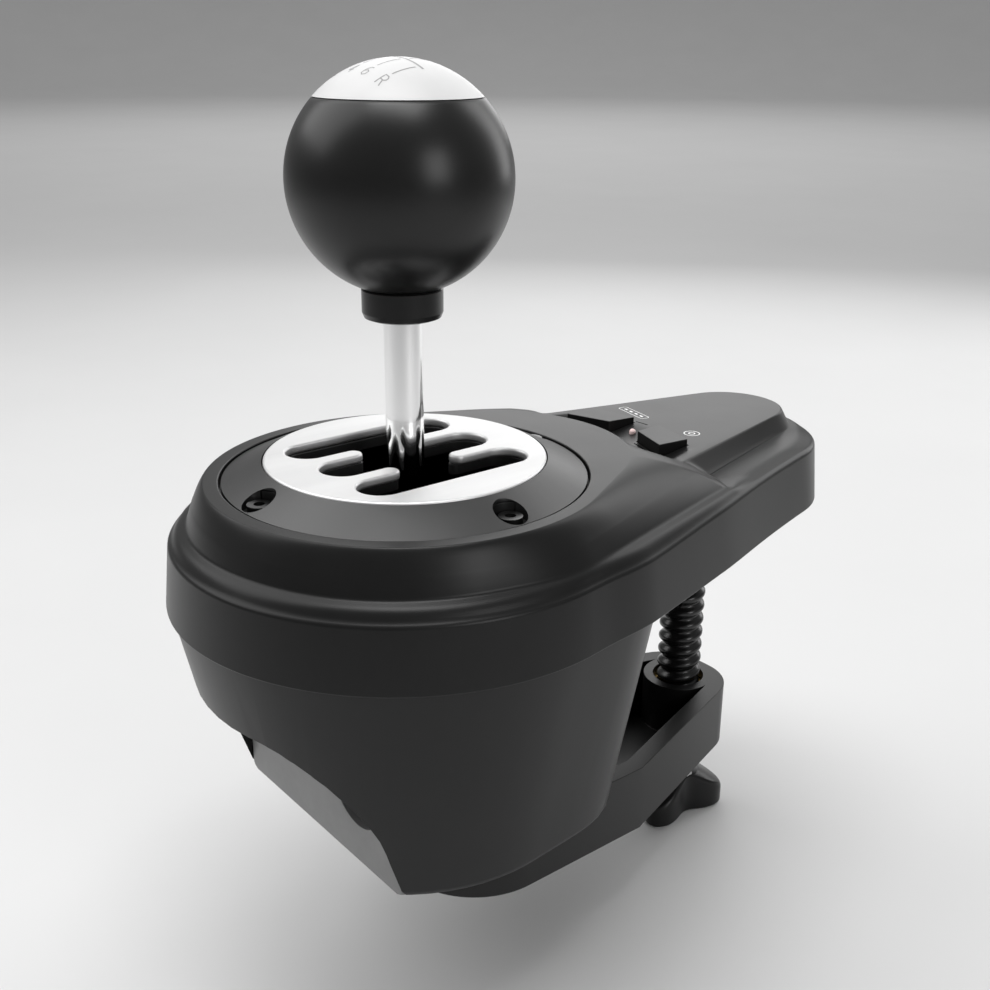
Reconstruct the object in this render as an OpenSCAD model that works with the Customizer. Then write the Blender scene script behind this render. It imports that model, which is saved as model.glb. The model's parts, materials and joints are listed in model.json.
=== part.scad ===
// Desk-clamped H-pattern gear shifter with a ball knob.
// The origin lies on the clamp screw's axis, in the face that rests on the desk top.
// +X is the driver's right, +Y runs from the lever over the desk, +Z is up.

/* [Layout] */
// Distance from the clamp screw's axis back to the lever's axis
lever_reach = 110; // [104:1:125]
// Height that the rubber desk pad stands proud of the case
pad_proud = 1; // [0.6:0.1:1.4]
// Depth of the lever's pivot below the gate plate's top
pivot_depth = 60; // [58:0.5:61]

/* [Upper case] */
// Radius of the round body at the band's upper edge
band_r = 61.1; // [59:0.1:64]
// Radius of the tail's round end at the band's upper edge
tail_r = 32; // [30:0.1:34]
// Distance from the lever's axis to the centre of the tail's round end
tail_reach = 118.4; // [115:0.1:124]
// How far the band widens towards its lower edge
band_flare = 1.8; // [0.8:0.1:2.4]
// How far the band's sides swell between the round body and the tail
side_swell = 2.4; // [1:0.1:3]
// Height of the band
band_h = 17.2; // [16:0.1:19]
// Rise of the band's upper edge towards the tail
tail_lift = 1.6; // [0.5:0.1:2]
// Rise of the ledge from the band to the foot of the shoulder
ledge_rise = 3.4; // [3:0.1:4]
// Radius of the shoulder's foot
foot_r = 56.3; // [55:0.1:58]
// How much nearer to the band the shoulder's foot runs at the tail's sides
foot_swell = 2.2; // [1:0.1:3]
// Reach of the shoulder's nose beside the island
nose_r = 89; // [86:0.5:91]
// Roundness of the shoulder's section, where 1 is a straight slope
shoulder_curve = 1.5; // [1.2:0.1:2]
// Rise of the shoulder from its foot to the flat ring
shoulder_rise = 10.7; // [10:0.1:11.5]
// Radius of the flat ring's outer edge at the driver's side
ring_r = 51.4; // [50.5:0.1:52]
// Radius of the flat ring's outer edge at the tail side
ring_tip_r = 38.5; // [36:0.1:40]
// Distance from the lever's axis to the centre of that edge's tail side
ring_reach = 27; // [25:0.1:29]
// Wall thickness of the plastic cases
wall = 2.6; // [2:0.1:3]
// Radial gap between shells that fit into each other
shell_gap = 0.4; // [0.3:0.05:0.5]

/* [Tail island] */
// Drop from the flat ring to the island's top
island_drop = 4.9; // [4:0.1:6]
// Half width of the island's side lines, taken at the lever's axis
island_r = 45.8; // [44:0.1:47]
// Radius of the island's round end
island_tip_r = 16.4; // [15:0.1:18]
// Distance from the lever's axis to the centre of that end
island_reach = 126.1; // [122:0.1:128]
// How much wider the island's foot is than its top at the sides
island_spread = 6.5; // [4:0.1:7]
// Radius of the island's foot at its round end
foot_tip_r = 17.2; // [16:0.1:19]
// Distance from the lever's axis to the centre of that round end
foot_reach = 129.5; // [127:0.1:131]
// Depth of the valley between the flat ring and the buttons
valley_depth = 6.2; // [5:0.1:7]
// Width of the slope from the flat ring down into the valley
valley_run = 9; // [7:0.5:11]

/* [Gate] */
// Radius of the gate plate
plate_r = 36.4; // [35.8:0.1:36.6]
// Thickness of the gate plate
plate_t = 2.4; // [2:0.1:3]
// Rise of the gate plate's top above the flat ring
plate_rise = 4.7; // [4.4:0.1:5.5]
// Distance between the middle lines of neighbouring slots
slot_pitch = 16.85; // [16.5:0.05:17.2]
// Half width of a slot
slot_half_w = 6; // [5.9:0.05:6.2]
// Half length of a slot
slot_half_l = 24.8; // [24.6:0.1:25.6]
// Half width of the neutral channel
channel_half = 8.2; // [7:0.1:9]
// Thickness of the guide under the plate
guide_t = 3; // [2.4:0.1:3.4]
// Extra half width of the guide's slots
guide_ease = 0.4; // [0.3:0.05:0.6]
// Radius of the bezel ring
bezel_r = 47; // [46.4:0.1:47.4]
// Radius on which the bezel's screws stand
bezel_screw_ring = 42.6; // [42.4:0.1:43]

/* [Buttons] */
// Distance from the lever's axis to the buttons' inner front corners
button_reach = 78.6; // [78:0.1:80]
// Gap between the two buttons at the front
button_between = 12; // [11:0.1:14]
// Width of a button
button_w = 13.5; // [12:0.1:15]
// Setback of the outer front corner, towards the lever
button_skew = 4.8; // [3:0.1:6]
// Depth of a button at its inner side
button_depth = 9.7; // [9:0.1:11]
// Height of the buttons' front edges above the island
button_proud = 2; // [1.2:0.1:2.4]
// Slope of the buttons' tops down to the rear, in degrees
button_tilt = 1.5; // [0.5:0.5:4]
// Travel of a button
button_travel = 1; // [0.6:0.1:1.2]
// Gap around a button
button_gap = 0.35; // [0.3:0.05:0.5]
// Radius of the status light
led_r = 1; // [0.8:0.1:1.4]

/* [Lower case] */
// How far the conical case's top lies inside the band's foot
casing_inset = 1.1; // [0.8:0.1:1.6]
// Radius of the conical case at its bottom
casing_r = 48.3; // [47.5:0.1:50]
// Height of the conical case
casing_h = 65; // [64:0.5:68]
// Distance from the lever's axis to the rear wall's foot
rear_reach = 43; // [41:0.5:44]
// How much farther back the rear wall reaches at its top
rear_slope = 3; // [1:0.5:4]
// How far the case's sides lean in towards the rear wall, in degrees
side_lean = 5; // [4:0.5:8]
// Distance from the lever's axis to the front panel's face
panel_reach = 30; // [29.5:0.5:31]
// Half width of the arch in the conical wall
arch_half = 38.3; // [37.5:0.1:38.6]
// Depth of the arch's crown below the band
arch_drop = 21; // [20:0.5:22]
// Width of the arch's rounded corner
arch_corner_w = 24; // [20:1:28]
// Height of the arch's rounded corner
arch_corner_h = 29; // [24:1:34]
// Half distance between the front panel's screw holes
panel_hole_x = 18.5; // [17.5:0.5:19.5]
// Height of these holes above the case's bottom
panel_hole_up = 22; // [20:0.5:23]
// Radius of the left screw hole
panel_hole_r = 3.6; // [3.4:0.1:4]
// Radius of the wide recess around the right screw hole
recess_r = 11; // [9:0.1:11.5]

/* [Clamp] */
// Half width of the clamp arm
arm_half = 33.6; // [32:0.1:34.5]
// Height of the clamp arm
arm_h = 21; // [20:0.5:24]
// Wall thickness of the clamp arm
arm_wall = 5.6; // [4.5:0.1:6]
// Thickness of the clamp arm's floor
arm_floor = 4; // [3:0.5:5]
// Distance from the lever's axis to the arm's edge at the driver's side
arm_front = 9; // [7:0.5:11]
// Radius of the arm's corners at the driver's side
arm_corner_r = 25; // [20:1:27]
// Taper of the arm's sides, in degrees
arm_taper = 17.5; // [16:0.1:18.5]
// Radius of the corners beside the clamp screw
arm_end_r = 14.6; // [14.4:0.1:15.5]
// Half distance between the centres of these corners
arm_end_half = 3; // [2:0.1:4]
// Setback of these centres from the clamp screw's axis
arm_end_back = 2.2; // [1:0.1:2.6]
// Outer radius of the clamp screw's thread
screw_r = 7.2; // [7:0.1:7.4]
// Depth of the rounded thread
thread_depth = 1.5; // [1.2:0.1:1.7]
// Pitch of the thread
screw_pitch = 4.8; // [4.6:0.1:5]
// Distance from the desk face down to the pressure pad, as drawn
pad_drop = 12; // [11.8:0.1:14]
// Radius of the pressure pad
pressure_r = 13; // [12:0.1:14]
// Distance from the arm's bottom down to the hand knob's bottom, as drawn
knob_drop = 30; // [30:0.5:34]
// Reach of the hand knob's lobes
lobe_r = 17.9; // [16.5:0.1:19]
// Radius of the hollows between the lobes
hollow_r = 8.5; // [8.2:0.1:9.5]
// Direction of the first lobe, in degrees from +X
lobe_turn = 56; // [0:1:119]

/* [Lever] */
// Radius of the lever rod
rod_r = 4.85; // [4.6:0.05:4.9]
// Radius of the ball knob
ball_r = 27.5; // [26:0.1:29]
// Height of the ball's centre above the gate plate
ball_rise = 68.8; // [66:0.1:72]
// Height of the cap's seam above the ball's centre
seam_rise = 18.6; // [17.5:0.1:20]
// Radius of the collar
collar_r = 10.1; // [9.5:0.1:11]
// Height of the collar
collar_h = 7.7; // [7:0.1:9]
// Travel of the lever when it is pushed down
push_travel = 6; // [4:0.5:6.5]
// Greatest tilt forwards or backwards, in degrees
throw_limit = 16.8; // [16:0.1:16.8]

/* [Mechanism] */
// Radius of the cradle's pins
pin_r = 3; // [2.5:0.1:3.4]
// Radial running clearance of pins and sliding shafts
run_gap = 0.05; // [0.04:0.01:0.08]
// Inner radius of the dust shield, from the pivot
shield_r = 48; // [47:0.1:48.5]
// Thickness of the dust shield
shield_t = 1.4; // [1:0.1:1.6]
// Half angle of the dust shield
shield_angle = 34; // [31:0.5:35]
// Thickness of the frame's plates
frame_t = 3; // [2.5:0.1:3.2]
// Thickness of the circuit boards
board_t = 1.6; // [1.2:0.1:1.8]
// Radius of a case screw's shank
bolt_r = 1.5; // [1.3:0.1:1.6]
// Gap between pieces that are screwed together but don't touch
seat_gap = 0.3; // [0.25:0.05:0.35]

/* [Hidden] */
$fn = 64;

lever_y = -lever_reach;
case_z = pad_proud;
band_z = case_z + band_h;
foot_z = band_z + ledge_rise;
ring_z = foot_z + shoulder_rise;
island_z = ring_z - island_drop;
plate_z = ring_z + plate_rise;
pivot_z = plate_z - pivot_depth;
casing_z = case_z - casing_h;
arm_z = casing_z - arm_h;
rear_y = lever_y + rear_reach + rear_slope;
casing_top_r = band_r + band_flare - casing_inset;
panel_y = lever_y - panel_reach;
base_t = 2.4;
pass = 1;

// Rays around the lever's axis, closer together towards the tail
rays = 84;
ray_power = 1.5;
function ray_angle(i) = let(s = 2 * i / rays - 1) 180 * sign(s) * pow(abs(s), ray_power);

// Distance from the lever's axis, in direction a from +Y, to the outline of a teardrop
// that is a big circle on the axis and a tip circle at reach, joined by tangents
function drop(a, big_r, tip_r, reach) = let(
    lean = asin((big_r - tip_r) / reach),
    b = abs(a),
    join = atan2(tip_r * cos(lean), reach + tip_r * sin(lean))
) b >= 90 - lean ? big_r
    : b >= join ? big_r / sin(b + lean)
    : reach * cos(b) + sqrt(pow(tip_r, 2) - pow(reach * sin(b), 2));

function ease(low, high, v) = let(t = min(max((v - low) / (high - low), 0), 1))
    t * t * (3 - 2 * t);

// The upper case's lines around the lever: band, shoulder's foot, rim of the top, flat ring
rim_step = 0.8;
wall_share = 0.3;
rim_share = 0.62;
flat_run = 2.6 * valley_run;
flat_share = 0.75;
low_run = 1.5 * valley_run;
low_share = 0.5;
slope_run = 0.7 * valley_run;
slope_share = 0.25;
function swell(a) = side_swell * ease(14, 34, abs(a)) * (1 - ease(58, 80, abs(a)));
function band_at(a, grow) = drop(a, band_r + grow, tail_r + grow, tail_reach) + swell(a);
function band_top(a) = band_z + tail_lift * (1 - ease(20, 60, abs(a)));
function ring_at(a) = drop(a, ring_r, ring_tip_r, ring_reach);
function island_at(a) = drop(a, island_r, island_tip_r, island_reach);
function island_foot(a) = drop(a, island_r + island_spread, foot_tip_r, foot_reach);
// The shoulder's foot follows the band, ends in a nose and runs back to the buttons' valley
function shoulder_foot(a) = let(
    set = band_r - foot_r - foot_swell * (1 - ease(75, 105, abs(a))),
    side = min(nose_r, drop(a, band_r - set, tail_r - set, tail_reach)),
    valley = ring_at(a) + valley_run
) valley + (side - valley) * ease(14, 23, abs(a));
function foot_at(a) = max(shoulder_foot(a), island_foot(a));
// Height of the rounded shoulder at radius r
function shoulder_z(a, r) = let(
    t = (shoulder_foot(a) - r) / (shoulder_foot(a) - ring_at(a))
) foot_z + shoulder_rise * (t > 0 ? 1 - pow(1 - min(t, 1), shoulder_curve) : 0);
// Radius on the way from the foot to the flat ring, at least share of it
function between(a, r, share) = max(r, foot_at(a) - share * (foot_at(a) - ring_at(a)));
function wall_foot(a) = min(between(a, island_foot(a), wall_share), foot_at(a) - 0.3);
function rim_at(a) = between(a, island_at(a), rim_share);
function top_at(a, run, share) = ring_at(a) + min(run, share * (rim_at(a) - ring_at(a)));

// Outer profile in direction a, as radius and height, from the band's foot inwards
band_edge = 0.9;
ledge_share = 0.35;
function outer_profile(a) = let(
    band = band_at(a, -band_edge),
    rim = rim_at(a),
    flat = top_at(a, flat_run, flat_share),
    low = top_at(a, low_run, low_share),
    slope = top_at(a, slope_run, slope_share)
) [
    [band_at(a, band_flare), case_z],
    [band_at(a, 0.15 * band_flare), band_top(a) - 1.2 * band_edge],
    [band, band_top(a)],
    [band + ledge_share * (foot_at(a) - band), foot_z - ledge_share * (foot_z - band_top(a))],
    [foot_at(a), foot_z],
    [wall_foot(a), shoulder_z(a, wall_foot(a))],
    [rim + 0.3 * rim_step, max(shoulder_z(a, rim + 0.3 * rim_step), island_z - 0.5 * rim_step)],
    [rim - 0.1 * rim_step, max(shoulder_z(a, rim), island_z)],
    [flat, max(shoulder_z(a, flat), island_z)],
    [low, max(shoulder_z(a, low), ring_z - valley_depth)],
    [slope, max(shoulder_z(a, slope), ring_z - valley_depth)],
    [ring_at(a), ring_z]
];
// Inner profile, one wall inside the outer one
function inner_profile(a) = let(
    outer = outer_profile(a),
    rim = min(outer[5][0] - 1.2 * wall, outer[7][0] - 0.8 * wall),
    island = min(rim - 0.2, outer[8][0] - 0.3 * wall),
    low = min(island - 0.2, outer[10][0] - 0.3 * wall)
) [
    [band_at(a, band_flare - wall), case_z - pass],
    [band_at(a, -wall), band_top(a) - wall],
    [foot_at(a) - 1.4 * wall, foot_z - wall],
    [outer[5][0] - wall, outer[5][1] - 0.9 * wall],
    [rim, outer[7][1] - wall],
    [island, outer[8][1] - wall],
    [low, outer[10][1] - wall],
    [min(low - 0.2, ring_at(a) - 0.3 * wall), ring_z - wall]
];

// Closed solid through the profiles of all rays
module ray_solid(profiles) {
    rows = len(profiles[0]);
    points = [for (i = [0:rays - 1]) for (p = profiles[i])
        [p[0] * sin(ray_angle(i)), lever_y + p[0] * cos(ray_angle(i)), p[1]]];
    function at(i, k) = (i % rays) * rows + k;
    sides = [for (i = [0:rays - 1]) for (k = [0:rows - 2]) for (half = [0, 1])
        half == 0 ? [at(i, k), at(i + 1, k + 1), at(i, k + 1)]
            : [at(i, k), at(i + 1, k), at(i + 1, k + 1)]];
    low = [for (i = [rays - 1:-1:0]) at(i, 0)];
    high = [for (i = [0:rays - 1]) at(i, rows - 1)];
    polyhedron(points = points, faces = concat(sides, [low], [high]), convexity = 6);
}

// Teardrop outline with true arcs
module drop_2d(big_r, tip_r, reach) {
    lean = asin((big_r - tip_r) / reach);
    translate([0, lever_y]) {
        circle(r = big_r, $fn = 128);
        translate([0, reach]) circle(r = tip_r, $fn = 128);
        polygon([
            [big_r * cos(lean), big_r * sin(lean)],
            [tip_r * cos(lean), reach + tip_r * sin(lean)],
            [-tip_r * cos(lean), reach + tip_r * sin(lean)],
            [-big_r * cos(lean), big_r * sin(lean)]
        ]);
    }
}

module at_lever(z) {
    translate([0, lever_y, z]) children();
}

// Straight hole or shank between two heights
module rod(x, y, low, high, r) {
    translate([x, y, low]) cylinder(r = r, h = high - low, $fn = 32);
}

// Ring with a square section on the lever's axis
module collar_ring(outer_r, inner_r, low, high) {
    at_lever(low) difference() {
        cylinder(r = outer_r, h = high - low, $fn = 128);
        translate([0, 0, -pass]) cylinder(r = inner_r, h = high - low + 2 * pass, $fn = 128);
    }
}

// Screw with a cylinder head, its shank pointing up from the head
head_h = 2;
head_r = 2 * bolt_r;
module screw_up(x, y, head_z, tip_z) {
    rod(x, y, head_z, head_z + head_h, head_r);
    rod(x, y, head_z + head_h - 0.5, tip_z, bolt_r);
}

// Screw whose shank points down from the head
module screw_down(x, y, head_z, tip_z) {
    difference() {
        union() {
            rod(x, y, head_z, head_z + head_h, head_r);
            rod(x, y, tip_z, head_z + 0.5, bolt_r);
        }
        rod(x, y, head_z + 0.5 * head_h, head_z + head_h + pass, 0.45 * head_r);
    }
}
bolt_hole_r = bolt_r + 0.1;

/* Places of the case's screws */
case_angles = [75, 140, -75, -140];
case_post_ring = band_r - wall - 6.5;
case_post_r = 4.2;
case_tab_z = case_z + 4;
case_tab_h = 4.5;
tail_boss_z = case_z + base_t + 2;
wide_post_y = rear_y + 7;
function post_top(x, y) = let(a = atan2(x, y - lever_y), r = norm([x, y - lever_y]) + case_post_r)
    (r > foot_at(a) ? foot_z - 0.6 : shoulder_z(a, r)) - 0.3 * wall;
tail_spots = [for (p = [[34, wide_post_y], [-34, wide_post_y], [22, 8], [-22, 8]])
    [p[0], p[1], post_top(p[0], p[1])]];
board_spots = [[20, -42], [-20, -42], [20, -16], [-20, -16]];
bezel_angles = [0, 90, 180, 270];

// Gate stack: plate on guide, guide on the seat ring, bezel around both
guide_z = plate_z - plate_t - guide_t;
seat_z = guide_z - 2.1;
seat_h = 5.5;
guide_r = plate_r + 3.7;
bezel_floor = seat_z;
bezel_inner_r = plate_r + seat_gap;
pocket_floor = seat_z + 1.4;
pocket_r = head_r + 1.2;

// Centre line of one of four screws on the bezel
function bezel_spot(a) = [bezel_screw_ring * cos(a), lever_y + bezel_screw_ring * sin(a)];

// Plan of the right button, corners in order; the left one is its mirror image
button_front = lever_y + button_reach;
button_plan = [
    [button_between / 2, button_front],
    [button_between / 2 + button_w, button_front - button_skew],
    [button_between / 2 + button_w + 0.6, button_front - button_skew + button_depth + 1.3],
    [button_between / 2 - 0.8, button_front + button_depth]
];
button_z = island_z + button_proud;

// The plan's corners moved outwards by d, every side staying parallel
function side_normal(p, q) = let(d = q - p, l = norm(d)) [d[1] / l, -d[0] / l];
function widened(plan, d) = [for (i = [0:len(plan) - 1]) let(
    n = len(plan),
    before = side_normal(plan[(i + n - 1) % n], plan[i]),
    after = side_normal(plan[i], plan[(i + 1) % n])
) plan[i] + d * (before + after) / (1 + before * after)];

led_y = button_front + 4;

module top_case() {
    color([0.1, 0.1, 0.105]) difference() {
        union() {
            difference() {
                ray_solid([for (i = [0:rays - 1]) outer_profile(ray_angle(i))]);
                ray_solid([for (i = [0:rays - 1]) inner_profile(ray_angle(i))]);
            }
            collar_ring(bezel_r + 3.6, plate_r + 1.6, seat_z - seat_h, ring_z - 1);
            for (a = bezel_angles)
                rod(bezel_spot(a)[0], bezel_spot(a)[1], seat_z - seat_h - 1, seat_z - 0.5, 3.6);
            for (a = case_angles)
                rod(case_post_ring * sin(a), lever_y + case_post_ring * cos(a),
                    case_tab_z + case_tab_h + seat_gap, foot_z - 0.6, case_post_r);
            for (p = tail_spots) rod(p[0], p[1], tail_boss_z, p[2], case_post_r);
        }
        at_lever(seat_z) cylinder(r = bezel_r + shell_gap, h = 20, $fn = 128);
        for (side = [1, -1]) scale([side, 1, 1]) translate([0, 0, case_z + band_h])
            linear_extrude(height = 20) polygon(widened(button_plan, button_gap));
        rod(0, led_y, band_z, ring_z, led_r + 0.15);
        for (a = bezel_angles)
            rod(bezel_spot(a)[0], bezel_spot(a)[1], seat_z - seat_h - 2, seat_z + 1, bolt_hole_r);
        for (a = case_angles)
            rod(case_post_ring * sin(a), lever_y + case_post_ring * cos(a),
                case_tab_z, case_tab_z + case_tab_h + 8, bolt_hole_r);
        for (p = tail_spots) rod(p[0], p[1], case_z, tail_boss_z + 9, bolt_hole_r);
        translate([-socket_w / 2 - 0.3, 0, socket_z - 0.3])
            cube([socket_w + 0.6, tail_end + 10, socket_h + 0.6]);
    }
}

// Opening of the gate: three joined slots, with round tongue ends
module gate_opening(pitch, half_w, half_l, channel) {
    tongue_r = pitch / 2 - half_w;
    difference() {
        union() {
            for (i = [-1:1]) translate([i * pitch, 0]) {
                square([2 * half_w, 2 * (half_l - half_w)], center = true);
                for (s = [1, -1]) translate([0, s * (half_l - half_w)]) circle(r = half_w);
            }
            square([2 * pitch, 2 * (channel + tongue_r)], center = true);
        }
        for (i = [-1, 1]) for (s = [1, -1]) translate([i * pitch / 2, s * (channel + tongue_r)])
            circle(r = tongue_r, $fn = 32);
    }
}

module gate_plate() {
    color([0.86, 0.87, 0.88]) at_lever(plate_z - plate_t) linear_extrude(height = plate_t)
        difference() {
            circle(r = plate_r, $fn = 128);
            gate_opening(slot_pitch, slot_half_w, slot_half_l, channel_half);
        }
}

// The guide lies nearer the pivot, so its slots are closer together
guide_share = (pivot_depth - plate_t - guide_t / 2) / (pivot_depth - plate_t / 2);
module gate_guide() {
    color([0.05, 0.05, 0.055]) at_lever(guide_z) difference() {
        cylinder(r = guide_r, h = guide_t, $fn = 128);
        translate([0, 0, -pass]) linear_extrude(height = guide_t + 2 * pass)
            gate_opening(slot_pitch * guide_share, slot_half_w + guide_ease, slot_half_l,
                channel_half);
        for (a = bezel_angles) translate([bezel_screw_ring * cos(a), bezel_screw_ring * sin(a),
            -pass]) cylinder(r = pocket_r + 0.3, h = guide_t + 2 * pass, $fn = 32);
    }
    color([0.05, 0.05, 0.055])
        collar_ring(bezel_screw_ring - pocket_r - 0.4, slot_pitch + slot_half_w + 11.5, seat_z,
            guide_z + 0.5);
}

module gate_bezel() {
    lip_z = guide_z + guide_t + seat_gap;
    color([0.09, 0.09, 0.095]) difference() {
        at_lever(0) rotate_extrude($fn = 128) polygon([
            [bezel_inner_r, lip_z],
            [bezel_inner_r, plate_z - 0.4],
            [bezel_r, ring_z - 0.4],
            [bezel_r, bezel_floor],
            [guide_r + seat_gap, bezel_floor],
            [guide_r + seat_gap, lip_z]
        ]);
        for (a = bezel_angles) {
            rod(bezel_spot(a)[0], bezel_spot(a)[1], pocket_floor, plate_z + pass, pocket_r);
            rod(bezel_spot(a)[0], bezel_spot(a)[1], bezel_floor - pass, plate_z, bolt_hole_r);
        }
    }
}

module bezel_screws() {
    color([0.55, 0.55, 0.57]) for (a = bezel_angles)
        screw_down(bezel_spot(a)[0], bezel_spot(a)[1], pocket_floor, seat_z - seat_h);
}

// Boards, switches and buttons in the tail
board_z = case_z + base_t + 3.6;
board_top = board_z + board_t;
board_half = 24;
board_back = -46;
board_l = 34;
tongue_half = 8;
tail_end = lever_y + tail_reach + tail_r;
tail_in = tail_end - wall;
switch_h = 4;
switch_x = button_between / 2 + button_w / 2;
switch_y = button_front + 1.5;
stem_z = board_top + switch_h + button_travel + seat_gap;
button_floor = ring_z - valley_depth - wall - seat_gap;
socket_w = 9;
socket_h = 6;
socket_l = 12;
socket_z = board_top;

module status_light() {
    color([0.95, 0.75, 0.75]) {
        rod(0, led_y, board_top, island_z - 0.6, led_r);
        translate([0, led_y, island_z - 0.6]) sphere(r = led_r, $fn = 32);
    }
}

module button(side) {
    color([0.03, 0.03, 0.032]) scale([side, 1, 1]) {
        difference() {
            translate([0, 0, button_floor - 1])
                linear_extrude(height = button_z - button_floor + button_skew) polygon(button_plan);
            translate([-button_w, button_front, button_z]) rotate([-button_tilt, 0, 0])
                translate([0, -2 * button_skew, 0]) cube([4 * button_w, 50, 20]);
        }
        translate([0, 0, button_floor - 1.6]) linear_extrude(height = 1.6)
            polygon(widened(button_plan, 1));
        rod(switch_x, switch_y, stem_z, button_floor - 1, 2.4);
    }
}

module button_left() {
    button(-1);
}

module button_right() {
    button(1);
}

module main_board() {
    color([0.05, 0.25, 0.12]) difference() {
        translate([0, 0, board_z]) linear_extrude(height = board_t) union() {
            translate([-board_half, board_back]) square([2 * board_half, board_l]);
            translate([-tongue_half, board_back + board_l - 1])
                square([2 * tongue_half, tail_in - board_back - board_l]);
        }
        for (p = board_spots) rod(p[0], p[1], board_z - pass, board_top + pass, bolt_hole_r);
    }
}

module button_switches() {
    color([0.12, 0.12, 0.12]) for (side = [1, -1])
        translate([side * switch_x - 3, switch_y - 3, board_top]) cube([6, 6, switch_h]);
}

module board_screws() {
    color([0.6, 0.6, 0.62]) for (p = board_spots)
        screw_down(p[0], p[1], board_top, case_z + base_t + 0.4);
}

module data_socket() {
    color([0.5, 0.5, 0.52]) translate([-socket_w / 2, tail_in - socket_l + 1.6, socket_z])
        difference() {
            cube([socket_w, socket_l, socket_h]);
            translate([1, socket_l - 8, 1]) cube([socket_w - 2, 9, socket_h - 2]);
        }
}

// Plate that closes the tail from below and carries the desk pad
pad_half = 15;
pad_edge = 1;
pad_back = rear_y + pad_half + pad_edge;
pad_front = 14;
pad_t = pad_proud + 0.6;
module pad_plan(grow) {
    translate([0, pad_back]) circle(r = pad_half + grow);
    translate([0, pad_front]) circle(r = pad_half + grow);
    translate([-pad_half - grow, pad_back]) square([2 * (pad_half + grow), pad_front - pad_back]);
}

module tail_base() {
    inset = wall + 2 * shell_gap - band_flare;
    color([0.09, 0.09, 0.095]) difference() {
        union() {
            translate([0, 0, case_z]) linear_extrude(height = base_t) intersection() {
                drop_2d(band_r - inset, tail_r - inset, tail_reach);
                translate([-100, rear_y + seat_gap]) square([200, 200]);
            }
            for (p = board_spots) rod(p[0], p[1], case_z + 0.5, board_z, 3);
            for (p = tail_spots) rod(p[0], p[1], case_z + 0.5, tail_boss_z, case_post_r);
        }
        translate([0, 0, -pass]) linear_extrude(height = pass + pad_t) pad_plan(0.2);
        for (p = tail_spots) {
            rod(p[0], p[1], case_z - pass, tail_boss_z + pass, bolt_hole_r);
            rod(p[0], p[1], case_z - pass, case_z + head_h + 0.2, head_r + 0.3);
        }
        for (p = board_spots) rod(p[0], p[1], case_z + base_t - 0.2, board_z + pass, bolt_hole_r);
    }
}

module tail_screws() {
    color([0.35, 0.35, 0.37]) for (p = tail_spots)
        screw_up(p[0], p[1], case_z + 0.2, tail_boss_z + 7);
}

module desk_pad() {
    color([0.04, 0.04, 0.04]) linear_extrude(height = pad_t) pad_plan(0);
}

// Radius of the round part of the conical case at height z, and reach of its rear wall
function casing_share(z) = (z - casing_z) / casing_h;
function casing_at(z) = casing_r + (casing_top_r - casing_r) * casing_share(z);
function rear_at(z) = rear_reach + rear_slope * casing_share(z);

// Distance from the lever's axis to the conical case in direction a: round in front, with
// straight sides that lean in and a rear wall, both joined by rounded corners
corner_power = 6;
function casing_line(a, z) = let(
    b = abs(a),
    side = b >= 90 - side_lean ? casing_at(z) : casing_at(z) / sin(b + side_lean)
) b >= 88 ? side
    : pow(pow(side, -corner_power) + pow(rear_at(z) / cos(b), -corner_power), -1 / corner_power);

// Solid of the conical case between two heights; edge rounds its bottom
edge_set = 0.65;
knee_rise = 0.3;
knee_set = 0.2;
module casing_cone(low, high, inset, edge = 0) {
    rows = concat(
        [[low, inset + edge * edge_set], [low + edge * knee_rise + 0.01, inset + edge * knee_set]],
        [for (share = [0, 0.35, 0.7, 1]) [low + edge + 0.02 + share * (high - low - edge - 0.02),
            inset]]
    );
    ray_solid([for (i = [0:rays - 1]) [for (row = rows)
        [casing_line(ray_angle(i), row[0]) - row[1], row[0]]]]);
}

// Arch opening, drawn as seen from the driver and run along Y
arch_steps = 10;
function arch_corner(side, grow) = [for (i = [0:arch_steps]) let(t = 90 * i / arch_steps) [
    side * (arch_half - arch_corner_w + (arch_corner_w + grow) * (side > 0 ? cos(t) : sin(t))),
    case_z - arch_drop - arch_corner_h + (arch_corner_h + grow) * (side > 0 ? sin(t) : cos(t))
]];
module arch_prism(grow, back_y, low) {
    translate([0, back_y, 0]) rotate([90, 0, 0]) linear_extrude(height = 60)
        polygon(concat([[arch_half + grow, low]], arch_corner(1, grow), arch_corner(-1, grow),
            [[-arch_half - grow, low]]));
}

module behind(y, low, high) {
    translate([-100, y, low]) cube([200, 200, high - low]);
}

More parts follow.
